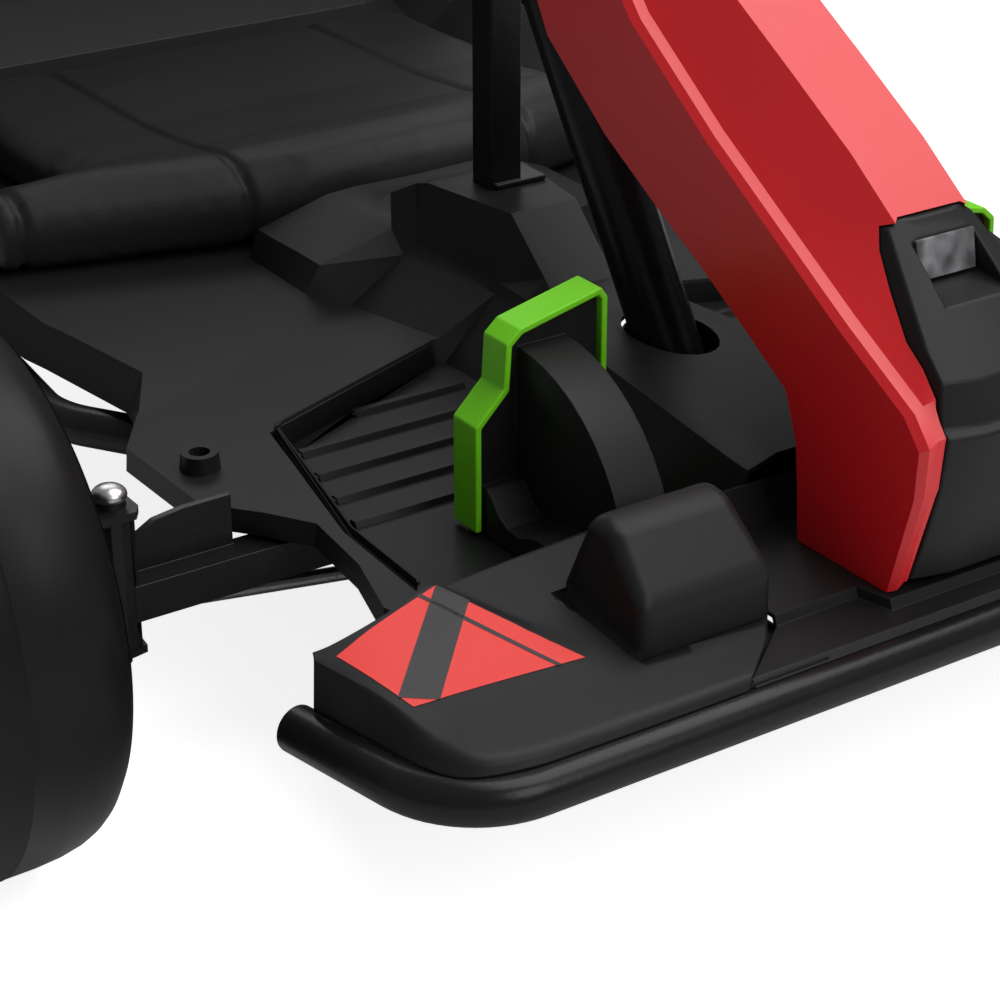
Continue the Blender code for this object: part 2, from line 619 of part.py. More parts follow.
HUMP_ROWS = (                # behind the tube, z, outer and inner x, from the front foot over the top
    (0.0315, 0.1125, 0.1870, 0.1120),
    (0.0315, 0.1445, 0.1870, 0.1120),
    (0.0610, 0.1720, 0.1830, 0.1150),
    (0.0770, 0.1735, 0.1840, 0.1150),
    (0.0815, 0.1400, 0.1960, 0.1120),
    (0.0820, 0.1125, 0.1970, 0.1120),
)
HUMP_EDGE = 0.006
DISC_X = (-0.147, -0.119)
DISC_RADIUS = 0.092


def cover_end(side):
    rows = [[(-x, BUMPER_Y + behind, z) for x, behind, z in row] for row in COVER_END]
    return sheet(rows, (0, 0, 1))


def hump_pocket(grow):
    """Block of the pedal housing's plan, grown all round, to open the cover for it."""
    front, rear = HUMP_ROWS[0], HUMP_ROWS[-1]
    near, far = BUMPER_Y + front[0] - grow, BUMPER_Y + rear[0] + grow
    outline = [(-front[2] - grow, near), (-front[3] + grow, near),
               (-rear[3] + grow, far), (-rear[2] - grow, far)]
    return prism(outline, 0.10, 0.20, "z")


def under_cover():
    """Everything below the top of the bumper tube, cut off the covers that sit on it."""
    return box((-0.4, BUMPER_Y - 0.1, 0.05), (0.4, BUMPER_Y + 0.2, COVER_BASE))


def rear_corner():
    """Block that squares off the cover's pointed outer end."""
    return box((-0.35, BUMPER_Y + 0.0865, 0.10), (-0.3105, BUMPER_Y + 0.2, 0.20))


def disc_slot():
    """Gap in the deck behind the housing that the pedal's quarter disc stands in."""
    start = BUMPER_Y + HUMP_ROWS[-1][0] - 0.003
    return box((DISC_X[0] - 0.004, start, 0.10), (-SEAM_X + 0.01, start + 0.06, 0.20))


def cover_centre():
    """Middle cover: a flat pad under the nose, a step down, and an apron to the lip."""
    rows = [[(x + slant * slanted, BUMPER_Y + behind - ledge * stepped, z)
             for behind, z, slanted, stepped in COVER_CENTRE] for x, slant, ledge in COVER_SPREAD]
    return shaped(sheet(rows, (0, 0, 1)), (), (under_cover(),), SHEET)


def pedal_housing(side):
    """Hollow hump that the pedal's quadrant runs into, open below."""
    bm = bmesh.new()
    left = [bm.verts.new((-outer, BUMPER_Y + behind, z)) for behind, z, outer, inner in HUMP_ROWS]
    right = [bm.verts.new((-inner, BUMPER_Y + behind, z)) for behind, z, outer, inner in HUMP_ROWS]
    for n in range(len(HUMP_ROWS) - 1):
        bm.faces.new((left[n], right[n], right[n + 1], left[n + 1]))
    bm.faces.new(left)
    bm.faces.new(right[::-1])
    body = soften(facing(bm, (0, 0, 1)), HUMP_EDGE)
    return mirrored(shaped(body, (), (), SHEET), side)


node("bumper_cover_centre", cover_centre(), BLACK_PLASTIC)
for word, side in SIDES:
    openings = (hump_pocket(0.0008), disc_slot(), under_cover(), rear_corner())
    shell = shaped(cover_end(side), (), openings, SHEET)
    node("bumper_cover_" + word, mirrored(shell, side), BLACK_PLASTIC)
    node("pedal_housing_" + word, pedal_housing(side), BLACK_PLASTIC)

# Pedals: a base on the footwell floor, an upright pad with a quarter disc, and a bright edge strip
PEDAL_REAR = FRONT_AXLE_Y - 0.0405    # face that the foot pushes
PEDAL_DEPTH = 0.020
PEDAL_EDGE = 0.0035          # thickness of the bright strip
PEDAL_OUTLINE = ((-0.173, 0.1145), (-0.097, 0.1145), (-0.097, 0.220), (-0.101, 0.2255),
                 (-0.148, 0.2150), (-0.1555, 0.2085), (-0.157, 0.186), (-0.173, 0.170))
PEDAL_BASE = (               # ahead of the pad's front, z: the base's side with its ear and hollow
    (0.066, FLOOR_TOP + CLEAR),
    (-0.006, FLOOR_TOP + CLEAR),
    (-0.006, 0.1370),
    (0.001, 0.1375),
    (0.006, 0.1340),
    (0.011, 0.1275),
    (0.019, 0.1235),
    (0.030, 0.1235),
    (0.040, 0.1280),
    (0.066, 0.1290),
)


def inset(outline, distance):
    """Closed outline moved inwards by a distance, for outlines listed anticlockwise."""
    moved = []
    count = len(outline)
    for n in range(count):
        (ax, az), (bx, bz), (cx, cz) = outline[n - 1], outline[n], outline[(n + 1) % count]
        first, second = Vector((bx - ax, bz - az)).normalized(), Vector((cx - bx, cz - bz)).normalized()
        inward_one, inward_two = Vector((-first.y, first.x)), Vector((-second.y, second.x))
        bisector = (inward_one + inward_two).normalized()
        reach = distance / max(bisector.dot(inward_one), 0.3)
        moved.append((bx + bisector.x * reach, bz + bisector.y * reach))
    return moved


def pedal(side):
    """Black pad, its quarter disc and the base it stands on."""
    front = PEDAL_REAR - PEDAL_DEPTH
    core = prism(inset(PEDAL_OUTLINE, PEDAL_EDGE + CLEAR), front + 0.004, PEDAL_REAR - 0.0005, "y")
    hub_z = FLOOR_TOP + CLEAR
    arc = [(front + 0.006, hub_z)]
    arc += [(front + 0.006 - DISC_RADIUS * sin(a), hub_z + DISC_RADIUS * cos(a))
            for a in [radians(90) * n / 12 for n in range(13)]]
    disc = prism(arc[::-1], DISC_X[0], DISC_X[1], "x")
    base = prism([(front - ahead, z) for ahead, z in PEDAL_BASE], -0.168, -0.1045, "x")
    return mirrored(shaped(core, (disc, base)), side)


def pedal_strip(side):
    front = PEDAL_REAR - PEDAL_DEPTH
    ring = prism(PEDAL_OUTLINE, front, PEDAL_REAR, "y")
    window = inset(PEDAL_OUTLINE, PEDAL_EDGE)
    open_foot = [(x, z - 0.02) for x, z in window[:2]]
    hollow = prism(open_foot + window[2:], front - 0.01, PEDAL_REAR + 0.01, "y")
    return mirrored(shaped(ring, (), (hollow,)), side)


for word, side in (("accelerator", -1), ("brake", 1)):
    node(word + "_pedal", pedal(side), BLACK_PLASTIC)
    node(word + "_strip", pedal_strip(side), GREEN_PLASTIC)

# Nose: red fairing, black centre panel and a clear lamp
NOSE = (                     # behind the tube: rear y, z; ridge y, z; half width; crown y, z
    (0.082, NOSE_SEAT + CLEAR, 0.019, NOSE_SEAT + CLEAR, 0.057, 0.014, NOSE_SEAT + CLEAR),
    (0.084, 0.145, 0.014, 0.140, 0.057, 0.008, 0.142),
    (0.087, 0.170, 0.006, 0.172, 0.057, -0.002, 0.176),
    (0.096, 0.193, 0.005, 0.196, 0.057, -0.004, 0.206),
    (0.127, 0.212, 0.016, 0.209, 0.057, 0.004, 0.226),
    (0.163, 0.232, 0.065, 0.235, 0.056, 0.048, 0.262),
    (0.199, 0.250, 0.120, 0.267, 0.055, 0.100, 0.300),
    (0.245, 0.275, 0.166, 0.294, 0.054, 0.146, 0.328),
    (0.298, 0.312, 0.228, 0.335, 0.052, 0.210, 0.366),
    (0.330, 0.355, 0.276, 0.380, 0.048, 0.260, 0.404),
)
NOSE_WALL = 0.003
CROWN_HALF = 0.022
WINDOW = (                   # z, half width of the opening in the crown
    (0.1150, 0.0470),
    (0.2070, 0.0440),
    (0.2340, 0.0400),
    (0.2740, 0.0260),
    (0.2780, 0.0190),
)
WINDOW_REAR = 0.078          # behind the tube
PANEL = (                    # z, rear, edge and middle of the front, behind the tube
    (0.1245, 0.048, 0.0160, 0.0110),
    (0.1460, 0.048, 0.0095, 0.0045),
    (0.1740, 0.048, 0.0030, -0.0020),
    (0.2000, 0.050, 0.0010, -0.0040),
    (0.2030, 0.050, 0.0060, 0.0010),
    (0.2230, 0.056, 0.0110, 0.0050),
    (0.2340, 0.060, 0.0240, 0.0190),
    (0.2730, 0.076, 0.0680, 0.0640),
    (0.2770, 0.076, 0.0710, 0.0670),
)
LAMP_POCKET = (              # behind the tube, z: side view of the recess under the hood
    (-0.100, 0.2390),
    (0.030, 0.2390),
    (0.0600, 0.2500),
    (0.0600, 0.2705),
    (0.0200, 0.2720),
    (-0.100, 0.2720),
)
POCKET_HALF = (0.0180, 0.0225)    # half width of the recess at the lamp and at its front
LAMP = ((0.0545, 0.2515), (0.0597, 0.2505), (0.0597, 0.2695), (0.0580, 0.2695))


def nose_row(station):
    """Right half of one section, from the rear edge over the ridge to the crown."""
    rear, rear_z, ridge, ridge_z, half, crown, crown_z = station
    rear_y, ridge_y, crown_y = BUMPER_Y + rear, BUMPER_Y + ridge, BUMPER_Y + crown
    return [(half, rear_y, rear_z), (half, ridge_y, ridge_z),
            (half - 0.003, ridge_y - 0.0035, ridge_z + 0.002),
            (half - 0.009, ridge_y - 0.0020, ridge_z + 0.0040), (CROWN_HALF, crown_y, crown_z)]


def nose_hollow_row(station):
    """The same section moved in by the wall, and past the rear edge so that it stays open."""
    row = nose_row(station)
    inwards = (Vector(row[0]) - Vector(row[1])).normalized()
    hollow = [Vector(row[0]) + inwards * 0.02] + [Vector(point) + inwards * NOSE_WALL for point in row[1:]]
    for point in hollow[:4]:
        point.x -= NOSE_WALL
    return [tuple(point) for point in hollow]


def both_halves(row):
    return [(-x, y, z) for x, y, z in row] + [(x, y, z) for x, y, z in row[::-1]]


def window_prism():
    """Opening of the crown, wide at its foot and narrow at the lamp's hood."""
    right = [(half, z) for z, half in WINDOW]
    left = [(-half, z) for z, half in WINDOW[::-1]]
    return prism(right + left, BUMPER_Y - 0.1, BUMPER_Y + WINDOW_REAR, "y")


def nose_shell():
    """Fairing with hollow back, its crown open between the side ridges for the black panel."""
    outer = [nose_row(station) for station in NOSE]
    hollow = [nose_hollow_row(station) for station in NOSE]
    foot = [(x, y, z - 0.01) for x, y, z in hollow[0]]
    ahead = Vector(hollow[-1][1]) - Vector(hollow[-2][1])
    top = [tuple(Vector(point) + ahead * 0.3) for point in hollow[-1]]
    inside = skinned([both_halves(row) for row in [foot] + hollow + [top]])
    return shaped(skinned([both_halves(row) for row in outer]), (), (inside, window_prism()))


def nose_panel():
    """Black insert that fills the window, with the hooded recess of the lamp at its top."""
    rings = []
    for z, rear, edge, middle in PANEL:
        half, = between(z, WINDOW)
        half -= CLEAR + 0.0004
        row = [(half, BUMPER_Y + rear, z), (half, BUMPER_Y + edge, z), (half * 0.55, BUMPER_Y + middle, z)]
        rings.append(both_halves(row))
    pocket_rings = []
    for behind, share in ((-0.02, 1.0), (0.0600, 0.0)):
        half = POCKET_HALF[0] + (POCKET_HALF[1] - POCKET_HALF[0]) * share
        low = between(behind, LAMP_POCKET[:3])[0]
        pocket_rings.append([(-half, BUMPER_Y + behind, low), (half, BUMPER_Y + behind, low),
                             (half, BUMPER_Y + behind, 0.2705), (-half, BUMPER_Y + behind, 0.2705)])
    return shaped(skinned(rings), (), (skinned(pocket_rings),))


node("nose_shell", nose_shell(), RED_PLASTIC)
node("nose_panel", nose_panel(), BLACK_PLASTIC)
lens_half = POCKET_HALF[0] - 0.0007
lens = prism([(BUMPER_Y + behind, z) for behind, z in LAMP], -lens_half, lens_half, "x")
node("nose_lamp", lens, CLEAR_LENS)

# Seat: moulded shell with raised edges, and two padded cushions
SEAT_PROFILE = (             # y, z along the middle of the shell, and how far its edge stands up
    (SEAT_FRONT, 0.1390, 0.002),
    (0.060, 0.1390, 0.028),
    (0.220, 0.1390, 0.040),
    (0.272, 0.1560, 0.060),
    (0.300, 0.2100, 0.075),
    (0.330, 0.3100, 0.070),
    (0.362, 0.4400, 0.050),
    (0.388, SEAT_TOP - 0.010, 0.024),
)
SEAT_SHELL = 0.004


def seat_point(n):
    """Middle of the shell at one row of its profile, and the direction out of the seat there."""
    before, after = SEAT_PROFILE[max(n - 1, 0)], SEAT_PROFILE[min(n + 1, len(SEAT_PROFILE) - 1)]
    along = Vector((0, after[0] - before[0], after[1] - before[1])).normalized()
    y, z, edge = SEAT_PROFILE[n]
    return Vector((0, y, z)), Vector((0, -along.z, along.y))


def seat_rows():
    """Rows across the seat; each edge stands out of the shell."""
    rows = []
    for n, (y, z, edge) in enumerate(SEAT_PROFILE):
        middle, inner = seat_point(n)
        row = []
        for share, lift in ((-1, 1), (-0.92, 0.55), (-0.83, 0.12), (-0.76, 0), (0, 0), (0.76, 0),
                            (0.83, 0.12), (0.92, 0.55), (1, 1)):
            row.append(middle + Vector((share * SEAT_HALF_WIDTH, 0, 0)) + inner * edge * lift)
        rows.append(row)
    return rows


seat_sheet = sheet(seat_rows(), (0, -0.5, 1))
node("seat_shell", shaped(seat_sheet, (), (), SEAT_SHELL), BLACK_PLASTIC)

CUSHION_GAP = 0.0004
PAD = 0.034
CUSHION_HALF = 0.185
CUSHION_PROFILE = (          # behind the shell's front edge, z
    (0.002, 0.1395),
    (0.225, 0.1395),
    (0.245, 0.1520),
    (0.235, 0.1700),
    (0.080, 0.1700),
    (0.030, 0.1740),
    (0.002, 0.1780),
)


def seat_cushion():
    """Flat pad on the shell, and the front roll that bows forward over the tray."""
    pad = prism([(SEAT_FRONT + behind, z) for behind, z in CUSHION_PROFILE], -CUSHION_HALF, CUSHION_HALF, "x")
    stations = [(-x, bow, rise) for x, bow, rise in CUSHION_BOW[:0:-1]] + list(CUSHION_BOW)
    rings = [[(x, SEAT_FRONT + behind - bow * forward, z + rise * upward)
              for behind, z, forward, upward in CUSHION_ROLL] for x, bow, rise in stations]
    return shaped(pad, (skinned(rings),))


node("seat_cushion", seat_cushion(), SEAT_COVER)


def back_pad():
    """Pad between two heights of the seat's back, lying on the shell."""
    rear, front = [], []
    for n in (4, 5, 6):
        point, inner = seat_point(n)
        rear.append(tuple((point + inner * CUSHION_GAP).yz))
        front.append(tuple((point + inner * PAD).yz))
    return prism(rear + front[::-1], -0.165, 0.165, "x")


node("seat_back_pad", back_pad(), SEAT_COVER)

MOUNT_Y = 0.150
seat_bar = box((-REAR_RAIL_X - 0.010, MOUNT_Y - 0.012, 0.120),
               (REAR_RAIL_X + 0.010, MOUNT_Y + 0.012, 0.1350 - CLEAR))
legs = [box((side * REAR_RAIL_X - 0.010, MOUNT_Y - 0.012, TUBE_TOP + CLEAR),
            (side * REAR_RAIL_X + 0.010, MOUNT_Y + 0.012, 0.128)) for side in (-1, 1)]
node("seat_mount", shaped(seat_bar, legs), BLACK_PAINT)

# Drive: battery, motor on its plate, chain guard and bearing carriers
STRAP = 0.004                # flat steel that the heavy pieces hang from
battery_top = TUBE_TOP + CLEAR + STRAP
battery = box((-0.150, 0.000, battery_top - BATTERY_HEIGHT), (0.150, 0.130, battery_top))
flange = box((-REAR_RAIL_X - 0.030, 0.030, TUBE_TOP + CLEAR), (REAR_RAIL_X + 0.030, 0.110, battery_top))
node("battery_box", shaped(battery, (flange,)), BLACK_PLASTIC)

MOTOR_Y = REAR_AXLE_Y + MOTOR_BEHIND
MOTOR_X = (0.020, 0.125)
plate_top = battery_top
node("motor_plate", box((-REAR_RAIL_X - 0.010, MOTOR_Y - 0.045, TUBE_TOP + CLEAR),
                        (REAR_RAIL_X + 0.010, MOTOR_Y + 0.045, plate_top)), BLACK_PAINT)
motor_z = plate_top + CLEAR + MOTOR_RADIUS
motor = rod((MOTOR_X[0], MOTOR_Y, motor_z), (MOTOR_X[1], MOTOR_Y, motor_z), MOTOR_RADIUS, 32)
foot = box((MOTOR_X[0] + 0.010, MOTOR_Y - 0.030, plate_top + CLEAR),
           (MOTOR_X[1] - 0.010, MOTOR_Y + 0.030, plate_top + 0.012))
node("motor_block", shaped(motor, (foot,)), BLACK_PAINT)

GUARD_X = (MOTOR_X[1] + CLEAR, MOTOR_X[1] + 0.024)


def stadium(start, start_radius, end, end_radius, steps=10):
    """Outline of two round ends joined by straight sides, in the (y, z) plane."""
    start, end = Vector(start), Vector(end)
    heading = end - start
    base = Vector((1, 0)).angle_signed(heading) * -1
    points = []
    for n in range(steps + 1):
        a = base + radians(90) + pi * n / steps
        points.append((start.x + start_radius * cos(a), start.y + start_radius * sin(a)))
    for n in range(steps + 1):
        a = base - radians(90) + pi * n / steps
        points.append((end.x + end_radius * cos(a), end.y + end_radius * sin(a)))
    return points


guard = prism(stadium((REAR_AXLE_Y, WHEEL_RADIUS), 0.050, (MOTOR_Y, motor_z), 0.030), *GUARD_X, "x")
guard_span = (GUARD_X[0] - 0.01, GUARD_X[1] + 0.01)
axle_bore = rod((guard_span[0], REAR_AXLE_Y, WHEEL_RADIUS), (guard_span[1], REAR_AXLE_Y, WHEEL_RADIUS),
                REAR_AXLE_RADIUS + 0.006, 20)
plate_gap = box((guard_span[0], MOTOR_Y - 0.047, 0.05), (guard_span[1], MOTOR_Y + 0.1, plate_top + 0.001))
node("chain_guard", shaped(guard, (), (axle_bore, plate_gap)), BLACK_PLASTIC)

CARRIER_X = (REAR_RAIL_X - TUBE_RADIUS - CLEAR - 0.018, REAR_RAIL_X - TUBE_RADIUS - CLEAR)
CARRIER = (                  # behind and above the axle: plate on the inner side of each rail
    (-0.030, -0.044),
    (0.030, -0.044),
    (0.030, 0.008),
    (0.016, 0.028),
    (-0.016, 0.028),
    (-0.030, 0.008),
)
for word, side in SIDES:
    inner, outer = sorted(side * x for x in CARRIER_X)
    plate = [(REAR_AXLE_Y + behind, WHEEL_RADIUS + above) for behind, above in CARRIER]
    block = prism(plate, inner, outer, "x")
    bore = rod((inner - 0.01, REAR_AXLE_Y, WHEEL_RADIUS), (outer + 0.01, REAR_AXLE_Y, WHEEL_RADIUS),
               REAR_AXLE_RADIUS + 0.0006)
    node("bearing_carrier_" + word, shaped(block, (), (bore,)), BLACK_PAINT)

# Steering: shaft with its drop arm, and the hand wheel
HAND_WHEEL_Z = 0.505
STEER_ARM = 0.035            # shaft to the tie rod pins
STEER_PIN_X = 0.018
ARM_THICKNESS = 0.004
steering_pivot = pivot("steering_pivot", column_point(HAND_WHEEL_Z))
arm_height = 0.080
arm_centre = column_point(arm_height)


def on_arm_plane(across, sideways, lift):
    """Point near the drop arm: rearwards in its plane, to the side, and up the column."""
    return arm_centre + ACROSS * across + Vector((sideways, 0, 0)) + AXIS * lift


def tilted(outline, low, high):
    """Plate square to the column, outline as (sideways, rearwards)."""
    bm = prism(outline, low, high, "z")
    turn = Matrix((Vector((1, 0, 0)), ACROSS, AXIS)).transposed().to_4x4()
    if turn.determinant() < 0:
        bmesh.ops.reverse_faces(bm, faces=bm.faces)
    bmesh.ops.transform(bm, matrix=Matrix.Translation(arm_centre) @ turn, verts=bm.verts)
    bmesh.ops.recalc_face_normals(bm, faces=bm.faces)
    return bm


drop_arm = tilted([(-0.013, -0.012), (0.013, -0.012), (0.029, STEER_ARM - 0.004), (0.026, STEER_ARM + 0.010),
                   (-0.026, STEER_ARM + 0.010), (-0.029, STEER_ARM - 0.004)], 0.0, ARM_THICKNESS)
shaft = rod(arm_centre + AXIS * 0.001, column_point(HAND_WHEEL_Z - 0.012), SHAFT_RADIUS)
node("steering_shaft", shaped(shaft, (drop_arm,)), BLACK_PAINT, steering_pivot)


def hand_wheel():
    """Rim with a flat bottom, three spokes and a hub, built flat and then tilted."""
    steps = 26
    rim = []
    for n in range(steps):
        a = 2 * pi * n / steps
        x, y = HAND_WHEEL_RADIUS * cos(a), HAND_WHEEL_RADIUS * sin(a)
        rim.append(Vector((x, min(y, HAND_WHEEL_RADIUS * 0.80), 0)))
    bm = bmesh.new()
    sides = 8
    rings = []
    for n, point in enumerate(rim):
        ahead = (rim[(n + 1) % steps] - rim[n - 1]).normalized()
        outwards = ahead.cross(Vector((0, 0, 1)))
        turns = [2 * pi * m / sides for m in range(sides)]
        rings.append([bm.verts.new(point + GRIP_RADIUS * (outwards * cos(b) + Vector((0, 0, sin(b)))))
                      for b in turns])
    for n in range(steps):
        ring, following = rings[n], rings[(n + 1) % steps]
        for m in range(sides):
            bm.faces.new((ring[m], ring[(m + 1) % sides], following[(m + 1) % sides], following[m]))
    bmesh.ops.recalc_face_normals(bm, faces=bm.faces)
    hub = rod((0, 0, -0.020), (0, 0, 0.004), 0.034)
    spokes = []
    for heading in (90, 195, 345):
        a = radians(heading)
        far = HAND_WHEEL_RADIUS * (0.80 if heading == 90 else 1.0)
        spoke = box((0.020, -0.014, -0.006), (far, 0.014, 0.000))
        bmesh.ops.rotate(spoke, verts=spoke.verts, cent=(0, 0, 0), matrix=Matrix.Rotation(a, 3, "Z"))
        spokes.append(spoke)
    bore = rod((0, 0, -0.03), (0, 0, -0.0118), SHAFT_RADIUS + CLEAR)
    made = shaped(bm, [hub] + spokes, (bore,))
    turn = Matrix((Vector((1, 0, 0)), ACROSS, AXIS)).transposed().to_4x4()
    bmesh.ops.transform(made, matrix=Matrix.Translation(column_point(HAND_WHEEL_Z)) @ turn, verts=made.verts)
    bmesh.ops.recalc_face_normals(made, faces=made.faces)
    return made


node("steering_wheel", hand_wheel(), BLACK_PLASTIC, steering_pivot)

# Knuckles, spindles and tie rods
KNUCKLE_PLATE = 0.004
SPINDLE_RADIUS = 0.007
KNUCKLE_ARM = (0.010, 0.054)     # towards the middle, rearwards, kingpin to tie rod stud
TIE_ROD_RADIUS = 0.004
STUD_RADIUS = 0.003
ROD_JOINT = 0.007            # thickness of the rod's inner joint
ROD_JOINT_GAP = 0.0065       # it drifts below the drop arm as the wheels steer
WEB_X = KINGPIN_X + 0.022
lower_top = KINGPIN_BOTTOM - CLEAR
upper_foot = KINGPIN_TOP + CLEAR
TIE_ROD_Z = 0.0655


def knuckle(side):
    kx, ky = -KINGPIN_X, FRONT_AXLE_Y
    web = box((-WEB_X - KNUCKLE_PLATE, ky - 0.014, lower_top - KNUCKLE_PLATE),
              (-WEB_X, ky + 0.014, upper_foot + KNUCKLE_PLATE))
    ear = [(kx + 0.011, ky - 0.007), (kx + 0.007, ky - 0.013), (-WEB_X - 0.002, ky - 0.0135),
           (-WEB_X - 0.002, ky + 0.0135), (kx + 0.007, ky + 0.013), (kx + 0.011, ky + 0.007)]
    upper = prism(ear, upper_foot, upper_foot + KNUCKLE_PLATE - 0.0001, "z")
    stud_x, stud_y = kx + KNUCKLE_ARM[0], ky + KNUCKLE_ARM[1]
    arm = [(kx - 0.010, ky - 0.013), (-WEB_X - 0.002, ky - 0.0130), (-WEB_X - 0.002, ky + 0.0130),
           (stud_x - 0.008, stud_y + 0.004), (stud_x, stud_y + 0.009), (stud_x + 0.008, stud_y + 0.004),
           (kx + 0.012, ky + 0.006), (kx + 0.010, ky - 0.009)]
    lower = prism(arm[::-1], lower_top - KNUCKLE_PLATE + 0.0001, lower_top, "z")
    kingpin = rod((kx, ky, lower_top - 0.010), (kx, ky, upper_foot + KNUCKLE_PLATE + 0.003), KINGPIN_RADIUS)
    head = rod((kx, ky, upper_foot + 0.002), (kx, ky, upper_foot + KNUCKLE_PLATE + 0.006), 0.0085, 16, 0.006)
    spindle_end = -FRONT_TRACK / 2 - FRONT_TYRE_WIDTH / 2 + 0.004
    spindle = rod((-WEB_X, ky, WHEEL_RADIUS), (spindle_end, ky, WHEEL_RADIUS), SPINDLE_RADIUS)
    stud = rod((stud_x, stud_y, TIE_ROD_Z - 0.006), (stud_x, stud_y, lower_top - 0.002), STUD_RADIUS, 16)
    return mirrored(shaped(web, (upper, lower, kingpin, head, spindle, stud)), side)


def tie_rod(side):
    stud = Vector((-KINGPIN_X + KNUCKLE_ARM[0], FRONT_AXLE_Y + KNUCKLE_ARM[1], TIE_ROD_Z))
    pin = on_arm_plane(STEER_ARM, -STEER_PIN_X, -ROD_JOINT_GAP)
    joint = rod(pin - AXIS * ROD_JOINT, pin, 0.008)
    inner_end = pin - AXIS * ROD_JOINT / 2
    along = (inner_end - stud).normalized()
    bar = rod(stud + along * 0.005, inner_end, TIE_ROD_RADIUS, 14)
    eye = rod(stud - Vector((0, 0, 0.004)), stud + Vector((0, 0, 0.004)), 0.0085)
    bore = rod(stud - Vector((0, 0, 0.02)), stud + Vector((0, 0, 0.02)), STUD_RADIUS + 0.0006, 16)
    return mirrored(shaped(bar, (joint, eye), (bore,)), side)


# Wheels: a slick tyre on a dished rim
TYRE_PROFILE = (             # share of the half width, drop below the tread's middle
    (0.00, 0.0000),
    (0.55, 0.0022),
    (0.82, 0.0075),
    (0.94, 0.0130),
    (1.00, 0.0200),
    (0.97, 0.0290),
)
TYRE_BORE = 0.040            # depth of the tyre from tread to rim
WHEEL_SIDES = 32


def tyre(width, centre):
    half = width / 2
    outer = [(WHEEL_RADIUS - drop, share * half) for share, drop in TYRE_PROFILE]
    inner = [(WHEEL_RADIUS - TYRE_BORE, 0.90 * half)]
    right = outer + inner
    profile = right + [(radius, -x) for radius, x in right[:0:-1]]
    return turned(profile, centre, WHEEL_SIDES)


def rim(width, centre, bore, out):
    """Barrel with a disc set towards the outer side and a hub with a hole for its shaft."""
    half = 0.88 * width / 2
    radius = WHEEL_RADIUS - TYRE_BORE - CLEAR
    web = 0.45 * half * out
    profile = [(radius, -half), (radius, half), (radius - 0.005, half), (radius - 0.006, web + 0.004),
               (0.030, web + 0.004), (0.028, 0.95 * half), (bore, 0.95 * half),
               (bore, -0.95 * half), (0.028, -0.95 * half), (0.030, web - 0.004),
               (radius - 0.006, web - 0.004), (radius - 0.005, -half)]
    return turned(profile, centre, WHEEL_SIDES // 2)


for word, side in SIDES:
    kingpin_place = Vector((side * KINGPIN_X, FRONT_AXLE_Y, WHEEL_RADIUS))
    knuckle_pivot = pivot("knuckle_pivot_" + word, kingpin_place)
    node("knuckle_" + word, knuckle(side), BLACK_PAINT, knuckle_pivot)
    stud_place = Vector((side * (KINGPIN_X - KNUCKLE_ARM[0]), FRONT_AXLE_Y + KNUCKLE_ARM[1], TIE_ROD_Z))
    rod_pivot = pivot("tie_rod_pivot_" + word, stud_place)
    node("tie_rod_" + word, tie_rod(side), BLACK_PAINT, rod_pivot)
    wheel_place = Vector((side * FRONT_TRACK / 2, FRONT_AXLE_Y, WHEEL_RADIUS))
    wheel_pivot = pivot("front_wheel_pivot_" + word, wheel_place)
    node("front_tyre_" + word, tyre(FRONT_TYRE_WIDTH, wheel_place), BLACK_TYRE, wheel_pivot)
    front_rim = rim(FRONT_TYRE_WIDTH, wheel_place, SPINDLE_RADIUS + 0.0006, side)
    node("front_rim_" + word, front_rim, BLACK_PLASTIC, wheel_pivot)

rear_pivot = pivot("rear_axle_pivot", (0, REAR_AXLE_Y, WHEEL_RADIUS))
axle_reach = REAR_TRACK / 2 + REAR_TYRE_WIDTH / 2
axle_bar = rod((-axle_reach, REAR_AXLE_Y, WHEEL_RADIUS), (axle_reach, REAR_AXLE_Y, WHEEL_RADIUS),
               REAR_AXLE_RADIUS)
disc_brake = rod((-0.150, REAR_AXLE_Y, WHEEL_RADIUS), (-0.146, REAR_AXLE_Y, WHEEL_RADIUS), 0.055, 28)
disc_hub = rod((-0.162, REAR_AXLE_Y, WHEEL_RADIUS), (-0.134, REAR_AXLE_Y, WHEEL_RADIUS), 0.021)
node("rear_axle", shaped(axle_bar, (disc_hub, disc_brake)), ALUMINIUM, rear_pivot)
for word, side in SIDES:
    wheel_place = Vector((side * REAR_TRACK / 2, REAR_AXLE_Y, WHEEL_RADIUS))
    node("rear_tyre_" + word, tyre(REAR_TYRE_WIDTH, wheel_place), BLACK_TYRE, rear_pivot)
    rear_rim = rim(REAR_TYRE_WIDTH, wheel_place, REAR_AXLE_RADIUS + CLEAR, side)
    node("rear_rim_" + word, rear_rim, BLACK_PLASTIC, rear_pivot)
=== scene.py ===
import json
from math import pi, radians, sin, tan

import bmesh
import bpy
from mathutils import Matrix, Vector
from mathutils.bvhtree import BVHTree


